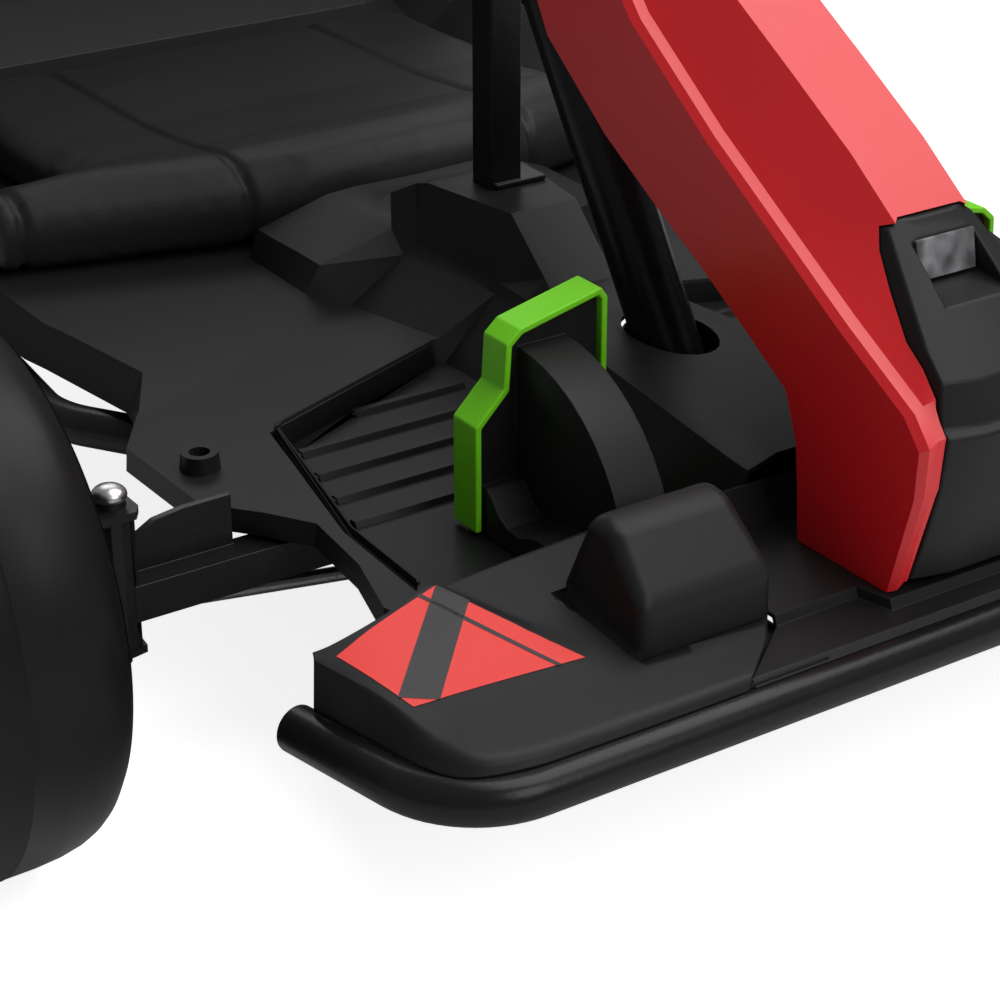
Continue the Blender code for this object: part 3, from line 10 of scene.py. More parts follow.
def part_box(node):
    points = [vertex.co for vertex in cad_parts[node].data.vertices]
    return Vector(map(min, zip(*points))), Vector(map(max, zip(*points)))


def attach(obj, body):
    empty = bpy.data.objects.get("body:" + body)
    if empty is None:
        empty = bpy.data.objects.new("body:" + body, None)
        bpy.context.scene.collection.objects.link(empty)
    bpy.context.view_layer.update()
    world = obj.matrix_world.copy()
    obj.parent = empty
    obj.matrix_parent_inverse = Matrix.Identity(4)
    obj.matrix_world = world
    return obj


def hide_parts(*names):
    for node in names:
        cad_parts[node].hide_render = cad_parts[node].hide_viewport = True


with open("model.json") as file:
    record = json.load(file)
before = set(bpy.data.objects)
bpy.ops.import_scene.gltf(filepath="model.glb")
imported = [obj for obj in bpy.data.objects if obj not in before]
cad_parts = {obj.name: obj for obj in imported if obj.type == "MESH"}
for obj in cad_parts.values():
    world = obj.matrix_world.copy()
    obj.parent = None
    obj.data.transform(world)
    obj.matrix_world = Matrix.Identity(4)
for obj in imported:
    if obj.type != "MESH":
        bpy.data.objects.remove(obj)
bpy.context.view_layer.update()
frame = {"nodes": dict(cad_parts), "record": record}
nodes = frame["nodes"]
print("frame loaded")

# Camera, floor and light

camera = {
    "place": (-0.7845, -1.3534, 0.6840),
    "turn": -34,             # degrees to the right of the kart's length
    "drop": 26.4,            # degrees below the horizon
    "lens": 93.6,
}

studio = {
    "world": 0.20,
    "floorColour": (0.78, 0.78, 0.78),
    "floorHalf": 30,
    "floorLift": 0.84,       # added for the camera only, so that the floor reads white
    "lamps": {               # place, aim, size, watts
        "overhead": ((0.70, -0.60, 2.00), (0.0, -0.40, 0.15), 1.6, 30),
        "frontSoft": ((0.30, -2.30, 1.60), (0.1, -0.40, 0.2), 1.2, 17),
        "rearSoft": ((0.60, 1.60, 1.70), (0.0, -0.10, 0.1), 1.5, 12),
    },
}


def aim(thing, place, target):
    thing.location = place
    away = Vector(place) - Vector(target)
    thing.rotation_euler = away.to_track_quat("Z", "Y").to_euler()


def addCamera():
    made = bpy.data.objects.new("camera", bpy.data.cameras.new("camera"))
    bpy.context.scene.collection.objects.link(made)
    made.data.lens = camera["lens"]
    made.data.sensor_width = 36
    made.data.clip_start = 0.01
    made.location = camera["place"]
    made.rotation_euler = (radians(90 - camera["drop"]), 0, radians(camera["turn"]))
    bpy.context.scene.camera = made


def addLamp(name, place, target, size, watts):
    data = bpy.data.lights.new(name, "AREA")
    data.size = size
    data.energy = watts
    made = bpy.data.objects.new(name, data)
    bpy.context.scene.collection.objects.link(made)
    aim(made, place, target)


addCamera()
for lampName, (place, target, size, watts) in studio["lamps"].items():
    addLamp(lampName, place, target, size, watts)
bpy.context.scene.view_settings.view_transform = "Standard"
print("camera and lamps placed")


# Shader tools: sockets that take Python arithmetic, and one method for every other node

class Wire:
    def __init__(self, finish, socket):
        self.finish = finish
        self.socket = socket

    def __add__(self, other):
        return self.finish.calc("ADD", self, other)

    def __radd__(self, other):
        return self.finish.calc("ADD", other, self)

    def __sub__(self, other):
        return self.finish.calc("SUBTRACT", self, other)

    def __rsub__(self, other):
        return self.finish.calc("SUBTRACT", other, self)

    def __mul__(self, other):
        return self.finish.calc("MULTIPLY", self, other)

    def __rmul__(self, other):
        return self.finish.calc("MULTIPLY", other, self)


class Finish:
    def __init__(self, name, **constants):
        self.material = bpy.data.materials.new(name)
        self.material.use_nodes = True
        self.tree = self.material.node_tree
        self.shader = self.tree.nodes["Principled BSDF"]
        self.set(**constants)

    def set(self, **values):
        for socketName, value in values.items():
            self.feed(self.shader.inputs[socketName.replace("_", " ")], value)

    def feed(self, socket, value):
        if isinstance(value, Wire):
            self.tree.links.new(value.socket, socket)
        elif isinstance(value, tuple) and len(value) == 3 and len(socket.default_value) == 4:
            socket.default_value = (*value, 1)
        else:
            socket.default_value = value

    def node(self, kind, settings=None, output=0, **inputs):
        made = self.tree.nodes.new(kind)
        for key, value in (settings or {}).items():
            if key == "stops":
                ramp = made.color_ramp.elements
                while len(ramp) < len(value):
                    ramp.new(0.5)
                for stop, (place, shade) in zip(ramp, value):
                    stop.position = place
                    stop.color = (shade, shade, shade, 1)
            else:
                setattr(made, key, value)
        for socketName, value in inputs.items():
            self.feed(made.inputs[socketName.replace("_", " ")], value)
        return Wire(self, made.outputs[output])

    def calc(self, operation, *values):
        made = self.tree.nodes.new("ShaderNodeMath")
        made.operation = operation
        for socket, value in zip(made.inputs, values):
            self.feed(socket, value)
        return Wire(self, made.outputs[0])

    def mix(self, factor, first, second):
        made = self.tree.nodes.new("ShaderNodeMix")
        made.data_type = "RGBA"
        self.feed(made.inputs["Factor"], factor)
        self.feed(made.inputs[6], first)
        self.feed(made.inputs[7], second)
        return Wire(self, made.outputs[2])

    def place(self):
        return self.node("ShaderNodeTexCoord", output="Object")

    def axis(self, letter):
        return self.node("ShaderNodeSeparateXYZ", output=letter, Vector=self.place())

    def noise(self, scale, detail=3, rough=0.5):
        return self.node("ShaderNodeTexNoise", Vector=self.place(), Scale=scale, Detail=detail,
                         Roughness=rough)

    def bump(self, height, depth, strength, under=None):
        more = {"Normal": under} if under is not None else {}
        return self.node("ShaderNodeBump", Height=height, Distance=depth, Strength=strength, **more)

    def grain(self, scale, depth, strength, detail=2):
        return self.bump(self.noise(scale, detail), depth, strength)


def dark(shade):
    return (shade, shade, shade * 1.04)


def ranged(low, high, wire):
    # a wire of 0 to 1 is stretched over low to high
    return wire * (high - low) + low


paint = {
    "shades": (0.008, 0.014),
    "cloud": 18,
    "gloss": (0.20, 0.34),
    "mirror": 0.22,
    "peel": (420, 0.00025, 0.35),        # scale, depth, strength
}


def makePaint():
    m = Finish("blackPaint", Specular_IOR_Level=paint["mirror"])
    cloud = m.noise(paint["cloud"], detail=4)
    m.set(Roughness=ranged(*paint["gloss"], cloud))
    m.set(Base_Color=m.mix(cloud, *(dark(shade) for shade in paint["shades"])))
    m.set(Normal=m.grain(*paint["peel"]))
    return m.material


plastic = {
    "shade": 0.0120,
    "spread": (0.85, 1.2),
    "cloud": 9,
    "gloss": (0.38, 0.52),
    "mirror": 0.22,
    "grain": 1500,
    "grainShare": 0.4,
    "grainDepth": 0.00012,
    "grainStrength": 0.5,
}
footwellShade = {"from": 0.1115, "to": 0.1235, "light": 0.45}


def makePlastic(name, light=1.0, gloss=plastic["gloss"], sunk=None):
    m = Finish(name, Specular_IOR_Level=plastic["mirror"])
    cloud = m.noise(plastic["cloud"], detail=5)
    speck = m.noise(plastic["grain"], detail=2)
    shade = plastic["shade"] * light
    colour = m.mix(cloud, *(dark(shade * part) for part in plastic["spread"]))
    if sunk:
        # less light reaches the bottom of the footwells
        height = m.node("ShaderNodeMapRange", {"clamp": True}, Value=m.axis("Z"), From_Min=sunk["from"],
                        From_Max=sunk["to"])
        colour = m.mix(height, dark(shade * sunk["light"]), colour)
    m.set(Base_Color=colour)
    share = plastic["grainShare"]
    m.set(Roughness=ranged(*gloss, cloud * (1 - share) + speck * share))
    m.set(Normal=m.bump(speck, plastic["grainDepth"], plastic["grainStrength"]))
    return m.material


rubber = {
    "shades": (0.0052, 0.008125),
    "cloud": 14,
    "gloss": (0.34, 0.48),
    "mirror": 0.20,
    "grain": 260,
    "grainShare": 0.3,
    "grainDepth": 0.0002,
    "grainStrength": 0.18,
}


def makeTyre():
    m = Finish("blackTyre", Specular_IOR_Level=rubber["mirror"])
    cloud = m.noise(rubber["cloud"], detail=5)
    fine = m.noise(rubber["grain"], detail=3)
    m.set(Base_Color=m.mix(cloud, *(dark(shade) for shade in rubber["shades"])))
    share = rubber["grainShare"]
    m.set(Roughness=ranged(*rubber["gloss"], cloud * (1 - share) + fine * share))
    m.set(Normal=m.bump(fine, rubber["grainDepth"], rubber["grainStrength"]))
    return m.material


red = {
    "colours": ((0.720, 0.0035, 0.0090), (0.800, 0.0050, 0.0120)),
    "cloud": 7,
    "gloss": (0.40, 0.52),
    "mirror": 0.60,
    "coat": 0.35,
    "coatGloss": 0.48,
    "grain": (900, 0.0001, 0.3),
}
green = {
    "colours": ((0.165, 0.640, 0.012), (0.205, 0.730, 0.018)),
    "cloud": 30,
    "gloss": (0.36, 0.48),
    "mirror": 0.25,
    "coat": 0,
    "coatGloss": 0.03,
    "grain": (1100, 0.0001, 0.3),
}


def makeColoured(name, facts):
    m = Finish(name, Specular_IOR_Level=facts["mirror"], Coat_Weight=facts["coat"],
               Coat_Roughness=facts["coatGloss"])
    cloud = m.noise(facts["cloud"], detail=3)
    m.set(Base_Color=m.mix(cloud, *facts["colours"]))
    m.set(Roughness=ranged(*facts["gloss"], cloud))
    m.set(Normal=m.grain(*facts["grain"]))
    return m.material


clear = {
    "through": 0.35,
    "bending": 1.45,
    "facet": 110,
    "facetRough": 0.3,
    "facetDepth": 0.0015,
    "facetStrength": 0.5,
    "shades": ((0.05, 0.05, 0.055), (0.75, 0.76, 0.78)),
    "cloud": 60,
    "gloss": (0.03, 0.10),
}


def makeLens():
    m = Finish("clearLens", Transmission_Weight=clear["through"], IOR=clear["bending"])
    facet = m.noise(clear["facet"], detail=2, rough=clear["facetRough"])
    m.set(Base_Color=m.mix(facet * facet, *clear["shades"]))
    m.set(Roughness=ranged(*clear["gloss"], m.noise(clear["cloud"], detail=3)))
    m.set(Normal=m.bump(facet, clear["facetDepth"], clear["facetStrength"]))
    return m.material


film = {
    "red": (0.880, 0.060, 0.052),
    "grey": (0.042, 0.040, 0.040),
    "fade": 0.94,
    "cloud": 25,
    "gloss": (0.34, 0.46),
    "mirror": 0.25,
    "grain": (500, 0.00005, 0.2),
}


def makeSticker(name, colour):
    m = Finish(name, Specular_IOR_Level=film["mirror"])
    cloud = m.noise(film["cloud"], detail=3)
    m.set(Base_Color=m.mix(cloud, tuple(part * film["fade"] for part in colour), colour))
    m.set(Roughness=ranged(*film["gloss"], cloud))
    m.set(Normal=m.grain(*film["grain"]))
    return m.material


leather = {
    "shades": (0.0128, 0.0192),
    "cloud": 11,
    "gloss": (0.42, 0.56),
    "mirror": 0.25,
    "pebble": 420,
    "crack": 0.12,
    "crackDepth": 0.00025,
    "crackStrength": 0.25,
    "crease": (90, 0.0006, 0.15),
}


def makeSeatCover():
    m = Finish("seatCover", Specular_IOR_Level=leather["mirror"])
    pebble = m.node("ShaderNodeTexVoronoi", {"feature": "DISTANCE_TO_EDGE"}, Vector=m.place(),
                    Scale=leather["pebble"])
    crack = m.node("ShaderNodeValToRGB", {"stops": ((0.0, 0.0), (leather["crack"], 1.0))}, Fac=pebble)
    cloud = m.noise(leather["cloud"], detail=4)
    m.set(Base_Color=m.mix(cloud, *(dark(shade) for shade in leather["shades"])))
    m.set(Roughness=ranged(*leather["gloss"], cloud))
    crease = m.grain(*leather["crease"], detail=3)
    m.set(Normal=m.bump(crack, leather["crackDepth"], leather["crackStrength"], crease))
    return m.material


metal = {"scratch": 240, "bright": (1.15, 1.15, 1.13), "depth": 0.0001, "strength": 0.2}


def makeMetal(name, shade, gloss):
    m = Finish(name, Metallic=1.0)
    scratch = m.noise(metal["scratch"], detail=4)
    m.set(Base_Color=m.mix(scratch, (shade,) * 3, tuple(shade * part for part in metal["bright"])))
    m.set(Roughness=ranged(*gloss, scratch))
    m.set(Normal=m.bump(scratch, metal["depth"], metal["strength"]))
    return m.material


finishes = {
    "paint": makePaint(),
    "plastic": makePlastic("blackPlastic"),
    "pedalPlastic": makePlastic("pedalPlastic", light=0.9, gloss=(0.40, 0.52)),
    "trayPlastic": makePlastic("trayPlastic", light=0.95, gloss=(0.40, 0.54), sunk=footwellShade),
    "tyre": makeTyre(),
    "red": makeColoured("redPlastic", red),
    "green": makeColoured("greenPlastic", green),
    "lens": makeLens(),
    "seatCover": makeSeatCover(),
    "sticker": makeSticker("stickerRed", film["red"]),
    "stickerBar": makeSticker("stickerGrey", film["grey"]),
    "zinc": makeMetal("zinc", shade=0.62, gloss=(0.22, 0.40)),
    "aluminium": makeMetal("aluminium", shade=0.55, gloss=(0.30, 0.45)),
}
print("finishes made")


def makeFloor():
    mesh = bmesh.new()
    bmesh.ops.create_grid(mesh, x_segments=1, y_segments=1, size=studio["floorHalf"])
    made = finished("floor", mesh, floorFinish())


def floorFinish():
    m = Finish("floorFinish", Roughness=0.9, Specular_IOR_Level=0.0)
    seen = m.node("ShaderNodeLightPath", output="Is Camera Ray")
    through = m.node("ShaderNodeLightPath", output="Is Transmission Ray")
    lift = (seen + through) * studio["floorLift"]
    m.set(Base_Color=studio["floorColour"], Emission_Color=(1.0, 1.0, 1.0), Emission_Strength=lift)
    return m.material


sharpFrom = 35               # degrees between faces


def finished(name, mesh, finish):
    data = bpy.data.meshes.new(name)
    mesh.to_mesh(data)
    mesh.free()
    data.materials.append(finish)
    data.shade_smooth()
    data.set_sharp_from_angle(angle=radians(sharpFrom))
    made = bpy.data.objects.new(name, data)
    bpy.context.scene.collection.objects.link(made)
    return made


def lightWorld():
    world = bpy.data.worlds.new("studio")
    bpy.context.scene.world = world
    world.use_nodes = True
    ground = world.node_tree.nodes["Background"]
    ground.inputs["Color"].default_value = (1, 1, 1, 1)
    ground.inputs["Strength"].default_value = studio["world"]


makeFloor()
lightWorld()

# Pieces: each stands for one CAD node, is modelled finer, and rides on the same body

bodyOf = {}
for bodyName, members in frame["record"]["behaviour"]["bodies"].items():
    for member in members:
        bodyOf[member] = bodyName

merge = {"touch": 0.0004, "seam": 1e-6, "flat": 1.2}


def settle(made, nodeName, replaced=True):
    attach(made, bodyOf[nodeName])
    if replaced:
        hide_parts(nodeName)
    return made


def copyOf(nodeName):
    mesh = bmesh.new()
    mesh.from_mesh(nodes[nodeName].data)
    bmesh.ops.remove_doubles(mesh, verts=mesh.verts, dist=merge["touch"])
    bmesh.ops.dissolve_limit(mesh, angle_limit=radians(merge["flat"]), verts=mesh.verts, edges=mesh.edges)
    return mesh


def roundEdges(mesh, width, segments=3, above=24):
    mesh.normal_update()
    sharp = [edge for edge in mesh.edges if edge.is_manifold and edge.calc_face_angle(0) > radians(above)]
    bmesh.ops.bevel(mesh, geom=sharp, offset=width, offset_type="OFFSET", segments=segments, profile=0.5,
                    affect="EDGES", clamp_overlap=True, material=-1)
    return mesh


def leanNormals(made):
    # big flat faces keep their shading beside rounded edges
    weighted = made.modifiers.new("lean", "WEIGHTED_NORMAL")
    weighted.keep_sharp = True
    return made


softenedPieces = (          # piece, node, finish, edge width, segments
    ("trayMoulding", "floor_tray", "trayPlastic", 0.0018, 3),
    ("coverCentre", "bumper_cover_centre", "plastic", 0.0012, 3),
    ("pedalRight", "accelerator_pedal", "pedalPlastic", 0.0012, 3),
    ("pedalLeft", "brake_pedal", "pedalPlastic", 0.0012, 3),
    ("stripRight", "accelerator_strip", "green", 0.0010, 3),
    ("stripLeft", "brake_strip", "green", 0.0010, 3),
    ("noseFairing", "nose_shell", "red", 0.0032, 4),
    ("nosePanel", "nose_panel", "plastic", 0.0014, 3),
    ("seatShell", "seat_shell", "plastic", 0.0012, 2),
    ("beamRight", "outrigger_right", "paint", 0.0008, 2),
    ("beamLeft", "outrigger_left", "paint", 0.0008, 2),
    ("knuckleRight", "knuckle_right", "paint", 0.0006, 2),
    ("knuckleLeft", "knuckle_left", "paint", 0.0006, 2),
    ("columnSocket", "column_socket", "paint", 0.0008, 2),
    ("columnPost", "steering_post", "paint", 0.0008, 2),
    ("batteryBox", "battery_box", "plastic", 0.0012, 3),
    ("chainGuard", "chain_guard", "plastic", 0.0016, 3),
    ("motorPlate", "motor_plate", "paint", 0.0008, 2),
    ("motorBlock", "motor_block", "paint", 0.0014, 3),
    ("seatBar", "seat_mount", "paint", 0.0010, 2),
    ("carrierRight", "bearing_carrier_right", "paint", 0.0010, 2),
    ("carrierLeft", "bearing_carrier_left", "paint", 0.0010, 2),
    ("handWheel", "steering_wheel", "plastic", 0.0012, 2),
    ("shaftAndArm", "steering_shaft", "paint", 0.0006, 2),
    ("tieRodRight", "tie_rod_right", "zinc", 0.0005, 2),
    ("tieRodLeft", "tie_rod_left", "zinc", 0.0005, 2),
    ("rearAxle", "rear_axle", "aluminium", 0.0005, 2),
)
for pieceName, nodeName, finishName, width, segments in softenedPieces:
    shape = roundEdges(copyOf(nodeName), width, segments)
    made = leanNormals(finished(pieceName, shape, finishes[finishName]))
    settle(made, nodeName)
    print(pieceName, len(made.data.polygons))
print("moulded pieces softened")


# Round pieces: tubes, column, tyres and rims, finer than their nodes

tubes = {
    "radius": 0.011,
    "height": 0.098,
    "bumper": ((-0.321, -0.508), (-0.301, -0.608), (0.301, -0.608), (0.321, -0.508)),
    "bumperBend": 0.048,
    "rail": ((0.217, -0.3562), (0.217, -0.240), (0.270, -0.160), (0.255, 0.0), (0.200, 0.090),
             (0.200, 0.5967)),
    "railBend": 0.060,
    "sides": 40,
    "steps": 14,
    "rim": 0.0012,
}


def pushed(mesh, edges, distance):
    moved = bmesh.ops.extrude_edge_only(mesh, edges=edges)["geom"]
    ends = [part for part in moved if isinstance(part, bmesh.types.BMVert)]
    bmesh.ops.translate(mesh, vec=distance, verts=ends)
    return [part for part in moved if isinstance(part, bmesh.types.BMEdge) and part.is_boundary]


def pipe(corners, bend, radius):
    mesh = bmesh.new()
    corners = [Vector(corner) for corner in corners]
    facing = (corners[1] - corners[0]).to_track_quat("Z", "Y").to_matrix().to_4x4()
    bmesh.ops.create_circle(mesh, segments=tubes["sides"], radius=radius,
                            matrix=Matrix.Translation(corners[0]) @ facing)
    edges = mesh.edges[:]
    here = corners[0]
    for before, corner, after in zip(corners, corners[1:], corners[2:]):
        back, ahead = (before - corner).normalized(), (after - corner).normalized()
        half = back.angle(ahead) / 2
        reach = bend / tan(half)
        edges = pushed(mesh, edges, corner + back * reach - here)
        middle = corner + (back + ahead).normalized() * bend / sin(half)
        turn = (corner + back * reach - middle).cross(-back)
        bent = bmesh.ops.spin(mesh, geom=edges, cent=middle, axis=turn, angle=pi - 2 * half,
                              steps=tubes["steps"])
        edges = [part for part in bent["geom_last"] if isinstance(part, bmesh.types.BMEdge)]
        here = corner + ahead * reach
    pushed(mesh, edges, corners[-1] - here)
    bmesh.ops.remove_doubles(mesh, verts=mesh.verts, dist=merge["seam"])
    bmesh.ops.holes_fill(mesh, edges=mesh.edges, sides=0)
    bmesh.ops.recalc_face_normals(mesh, faces=mesh.faces)
    return roundEdges(mesh, tubes["rim"], segments=3, above=60)


def atHeight(outline, side=1, turned=1):
    return [(side * x, turned * y, tubes["height"]) for x, y in outline]


for pieceName, nodeName, turned in (("bumperFront", "front_bumper_tube", 1),
                                    ("bumperRear", "rear_bumper_tube", -1)):
    bumper = pipe(atHeight(tubes["bumper"], turned=turned), tubes["bumperBend"], tubes["radius"])
    settle(finished(pieceName, bumper, finishes["paint"]), nodeName)
for word, side in (("right", -1), ("left", 1)):
    rail = pipe(atHeight(tubes["rail"], side), tubes["railBend"], tubes["radius"])
    settle(finished("rail" + word.title(), rail, finishes["paint"]), "side_rail_" + word)
for pieceName, nodeName in (("innerRailRight", "inner_rail_right"), ("innerRailLeft", "inner_rail_left"),
                            ("crossTubeFront", "cross_tube_front"), ("crossTubeRear", "cross_tube_rear")):
    low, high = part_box(nodeName)
    middle = (Vector(low) + Vector(high)) / 2
    run = Vector((1, 0, 0)) if high[0] - low[0] > high[1] - low[1] else Vector((0, 1, 0))
    reach = run * (Vector(high) - Vector(low)).dot(run) / 2
    straight = pipe((middle - reach, middle + reach), 0, tubes["radius"])
    settle(finished(pieceName, straight, finishes["paint"]), nodeName)
print("tubes made")

column = {
    "foot": (0, -0.36968, 0.114),
    "run": (0, 0.54464, 0.83867),        # direction from the foot to the hand wheel
    "length": 0.400,
    "radius": 0.0175,
    "bore": 0.0088,
    "boreDepth": 0.012,
    "edge": 0.0008,
    "sides": 72,
}


def makeColumn():
    mesh = bmesh.new()
    run = Vector(column["run"])
    middle = Vector(column["foot"]) + run * column["length"] / 2
    facing = run.to_track_quat("Z", "Y").to_matrix().to_4x4()
    bmesh.ops.create_cone(mesh, cap_ends=True, segments=column["sides"], radius1=column["radius"],
                          radius2=column["radius"], depth=column["length"],
                          matrix=Matrix.Translation(middle) @ facing)
    caps = [face for face in mesh.faces if len(face.verts) > 4]
    for cap in caps:
        bmesh.ops.inset_region(mesh, faces=[cap], thickness=column["radius"] - column["bore"])
        deeper = cap.normal * -column["boreDepth"]
        bmesh.ops.translate(mesh, vec=deeper, verts=cap.verts)
    shape = roundEdges(mesh, column["edge"], segments=2, above=60)
    settle(finished("columnJacket", shape, finishes["paint"]), "steering_column")


makeColumn()

tyre = {
    "steps": 144,
    "profile": (             # share of the half width, drop below the tread's middle
        (0.000, 0.0), (0.010, 0.00025), (0.300, 0.0005), (0.520, 0.0014), (0.680, 0.0031), (0.790, 0.0054),
        (0.870, 0.0083), (0.925, 0.0118), (0.948, 0.0140), (0.953, 0.0136), (0.963, 0.0146), (0.972, 0.0166),
        (0.990, 0.0205), (1.000, 0.0250), (0.998, 0.0285), (0.985, 0.0315), (0.955, 0.0345), (0.920, 0.0372),
        (0.905, 0.0400),
    ),
}
rimShape = {
    "steps": 96,
    "edge": 0.0010,
    "barrel": 0.88 / 0.95,   # half width of the barrel as a share of the hub's
    "webPlace": 0.45,        # how far out the web stands in the barrel
    "lip": 0.005,
    "bowl": ((0.009, 0.010), (0.016, 0.004)),    # below the barrel, off the web's middle
    "root": ((0.034, 0.004), (0.030, 0.008)),    # radius, off the web's middle
    "hub": 0.028,
    "bores": {"front": 0.0076, "rear": 0.0128},
}


def spun(profile, centre, steps):
    mesh = bmesh.new()
    ring = [mesh.verts.new((x, 0, radius)) for radius, x in profile]
    edges = [mesh.edges.new((first, second)) for first, second in zip(ring, ring[1:] + ring[:1])]
    bmesh.ops.spin(mesh, geom=ring + edges, cent=(0, 0, 0), axis=(1, 0, 0), angle=2 * pi, steps=steps,
                   use_merge=True)
    bmesh.ops.remove_doubles(mesh, verts=mesh.verts, dist=merge["seam"])
    bmesh.ops.recalc_face_normals(mesh, faces=mesh.faces)
    bmesh.ops.translate(mesh, vec=centre, verts=mesh.verts)
    return mesh


def measured(nodeName):
    low, high = (Vector(corner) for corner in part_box(nodeName))
    return (low + high) / 2, (high - low) / 2


def makeTyreShape(pieceName, nodeName):
    centre, half = measured(nodeName)
    right = [(half.z - drop, share * half.x) for share, drop in tyre["profile"]]
    profile = right + [(radius, -x) for radius, x in right[:0:-1]]
    settle(finished(pieceName, spun(profile, centre, tyre["steps"]), finishes["tyre"]), nodeName)


def rimHalf(radius, half, bore, web, way):
    barrel = way * rimShape["barrel"] * half
    return ([(radius, barrel), (radius - rimShape["lip"], barrel)]
            + [(radius - drop, web + way * offset) for drop, offset in rimShape["bowl"]]
            + [(place, web + way * offset) for place, offset in rimShape["root"]]
            + [(rimShape["hub"], way * half), (bore, way * half)])


def makeRim(pieceName, nodeName, side, bore):
    centre, half = measured(nodeName)
    web = rimShape["webPlace"] * rimShape["barrel"] * half.x * side
    profile = rimHalf(half.z, half.x, bore, web, 1) + rimHalf(half.z, half.x, bore, web, -1)[::-1]
    shape = roundEdges(spun(profile, centre, rimShape["steps"]), rimShape["edge"], segments=2, above=40)
    settle(finished(pieceName, shape, finishes["plastic"]), nodeName)


for word, side in (("right", -1), ("left", 1)):
    for end, bore in rimShape["bores"].items():
        makeTyreShape(end + "Tyre" + word.title(), end + "_tyre_" + word)
        makeRim(end + "Rim" + word.title(), end + "_rim_" + word, side, bore)
print("wheels made")

# Pedal housings: a rounded hump, open below

bumperMiddle = tubes["bumper"][1][1]     # y of the front bumper tube's middle
hump = {
    "rows": (                # behind the bumper tube's middle, z, outer x, inner x
        (0.0315, 0.1125, 0.1870, 0.1120),
        (0.0315, 0.1445, 0.1870, 0.1120),
        (0.0610, 0.1722, 0.1825, 0.1165),
        (0.0770, 0.1735, 0.1835, 0.1165),
        (0.0815, 0.1400, 0.1960, 0.1120),
        (0.0820, 0.1125, 0.1970, 0.1120),
    ),
    "round": 0.0075,
    "wall": 0.0022,
}


def makeHump(side):
    mesh = bmesh.new()
    rows = [[mesh.verts.new((side * x, bumperMiddle + behind, z)) for x in (outer, inner)]
            for behind, z, outer, inner in hump["rows"]]
    for (outer, inner), (nextOuter, nextInner) in zip(rows, rows[1:]):
        mesh.faces.new((outer, inner, nextInner, nextOuter))
    mesh.faces.new([outer for outer, inner in rows])
    mesh.faces.new([inner for outer, inner in rows])
    bmesh.ops.recalc_face_normals(mesh, faces=mesh.faces)
    mesh.normal_update()
    top = max(mesh.faces, key=lambda face: face.calc_center_median().z)
    if top.normal.z < 0:
        bmesh.ops.reverse_faces(mesh, faces=mesh.faces)
    roundEdges(mesh, hump["round"], segments=5, above=20)
    bmesh.ops.solidify(mesh, geom=mesh.faces[:], thickness=hump["wall"])
    return mesh


for word, side in (("right", -1), ("left", 1)):
    made = leanNormals(finished("hump" + word.title(), makeHump(side), finishes["plastic"]))
    settle(made, "pedal_housing_" + word)
print("humps made")

# Moulded cover of the bumper's right and left end: a smooth sheet over four measured lines


def along(points, share):
    # smooth path through the points, share runs from 0 to 1 over all of them
    place = share * (len(points) - 1)
    first = min(int(place), len(points) - 2)
    part = place - first
    before, here, there, beyond = (Vector(points[min(max(first + step, 0), len(points) - 1)])
                                   for step in (-1, 0, 1, 2))
    return 0.5 * (2 * here + (there - before) * part
                  + (2 * before - 5 * here + 4 * there - beyond) * part ** 2
                  + (3 * here - before - 3 * there + beyond) * part ** 3)


cornerShare = 0.45           # a round takes no more than this share of the line beside it


def softLine(points, rounds, straight, bend):
    # a line whose inner corners are rounded, with one reach in rounds for each of them
    made = [Vector(points[0])]
    for number, corner in enumerate(points[1:-1]):
        corner = Vector(corner)
        back, ahead = made[-1] - corner, Vector(points[number + 2]) - corner
        start = corner + back.normalized() * min(rounds[number], cornerShare * back.length)
        stop = corner + ahead.normalized() * min(rounds[number], cornerShare * ahead.length)
        made += [made[-1].lerp(start, step / straight[number]) for step in range(1, straight[number])]
        for step in range(bend + 1):
            part = step / bend
            made.append(start * (1 - part) ** 2 + corner * 2 * part * (1 - part) + stop * part ** 2)
    last = made[-1]
    made += [last.lerp(Vector(points[-1]), step / straight[-1]) for step in range(1, straight[-1] + 1)]
    return made


def gridSheet(lines):
    # a grid whose vertices are put on the given lines of equal length
    mesh = bmesh.new()
    across, down = len(lines) - 1, len(lines[0]) - 1
    bmesh.ops.create_grid(mesh, x_segments=across, y_segments=down, size=1)
    for vert in mesh.verts:
        vert.co = lines[round((vert.co.x + 1) / 2 * across)][round((vert.co.y + 1) / 2 * down)]
    return mesh


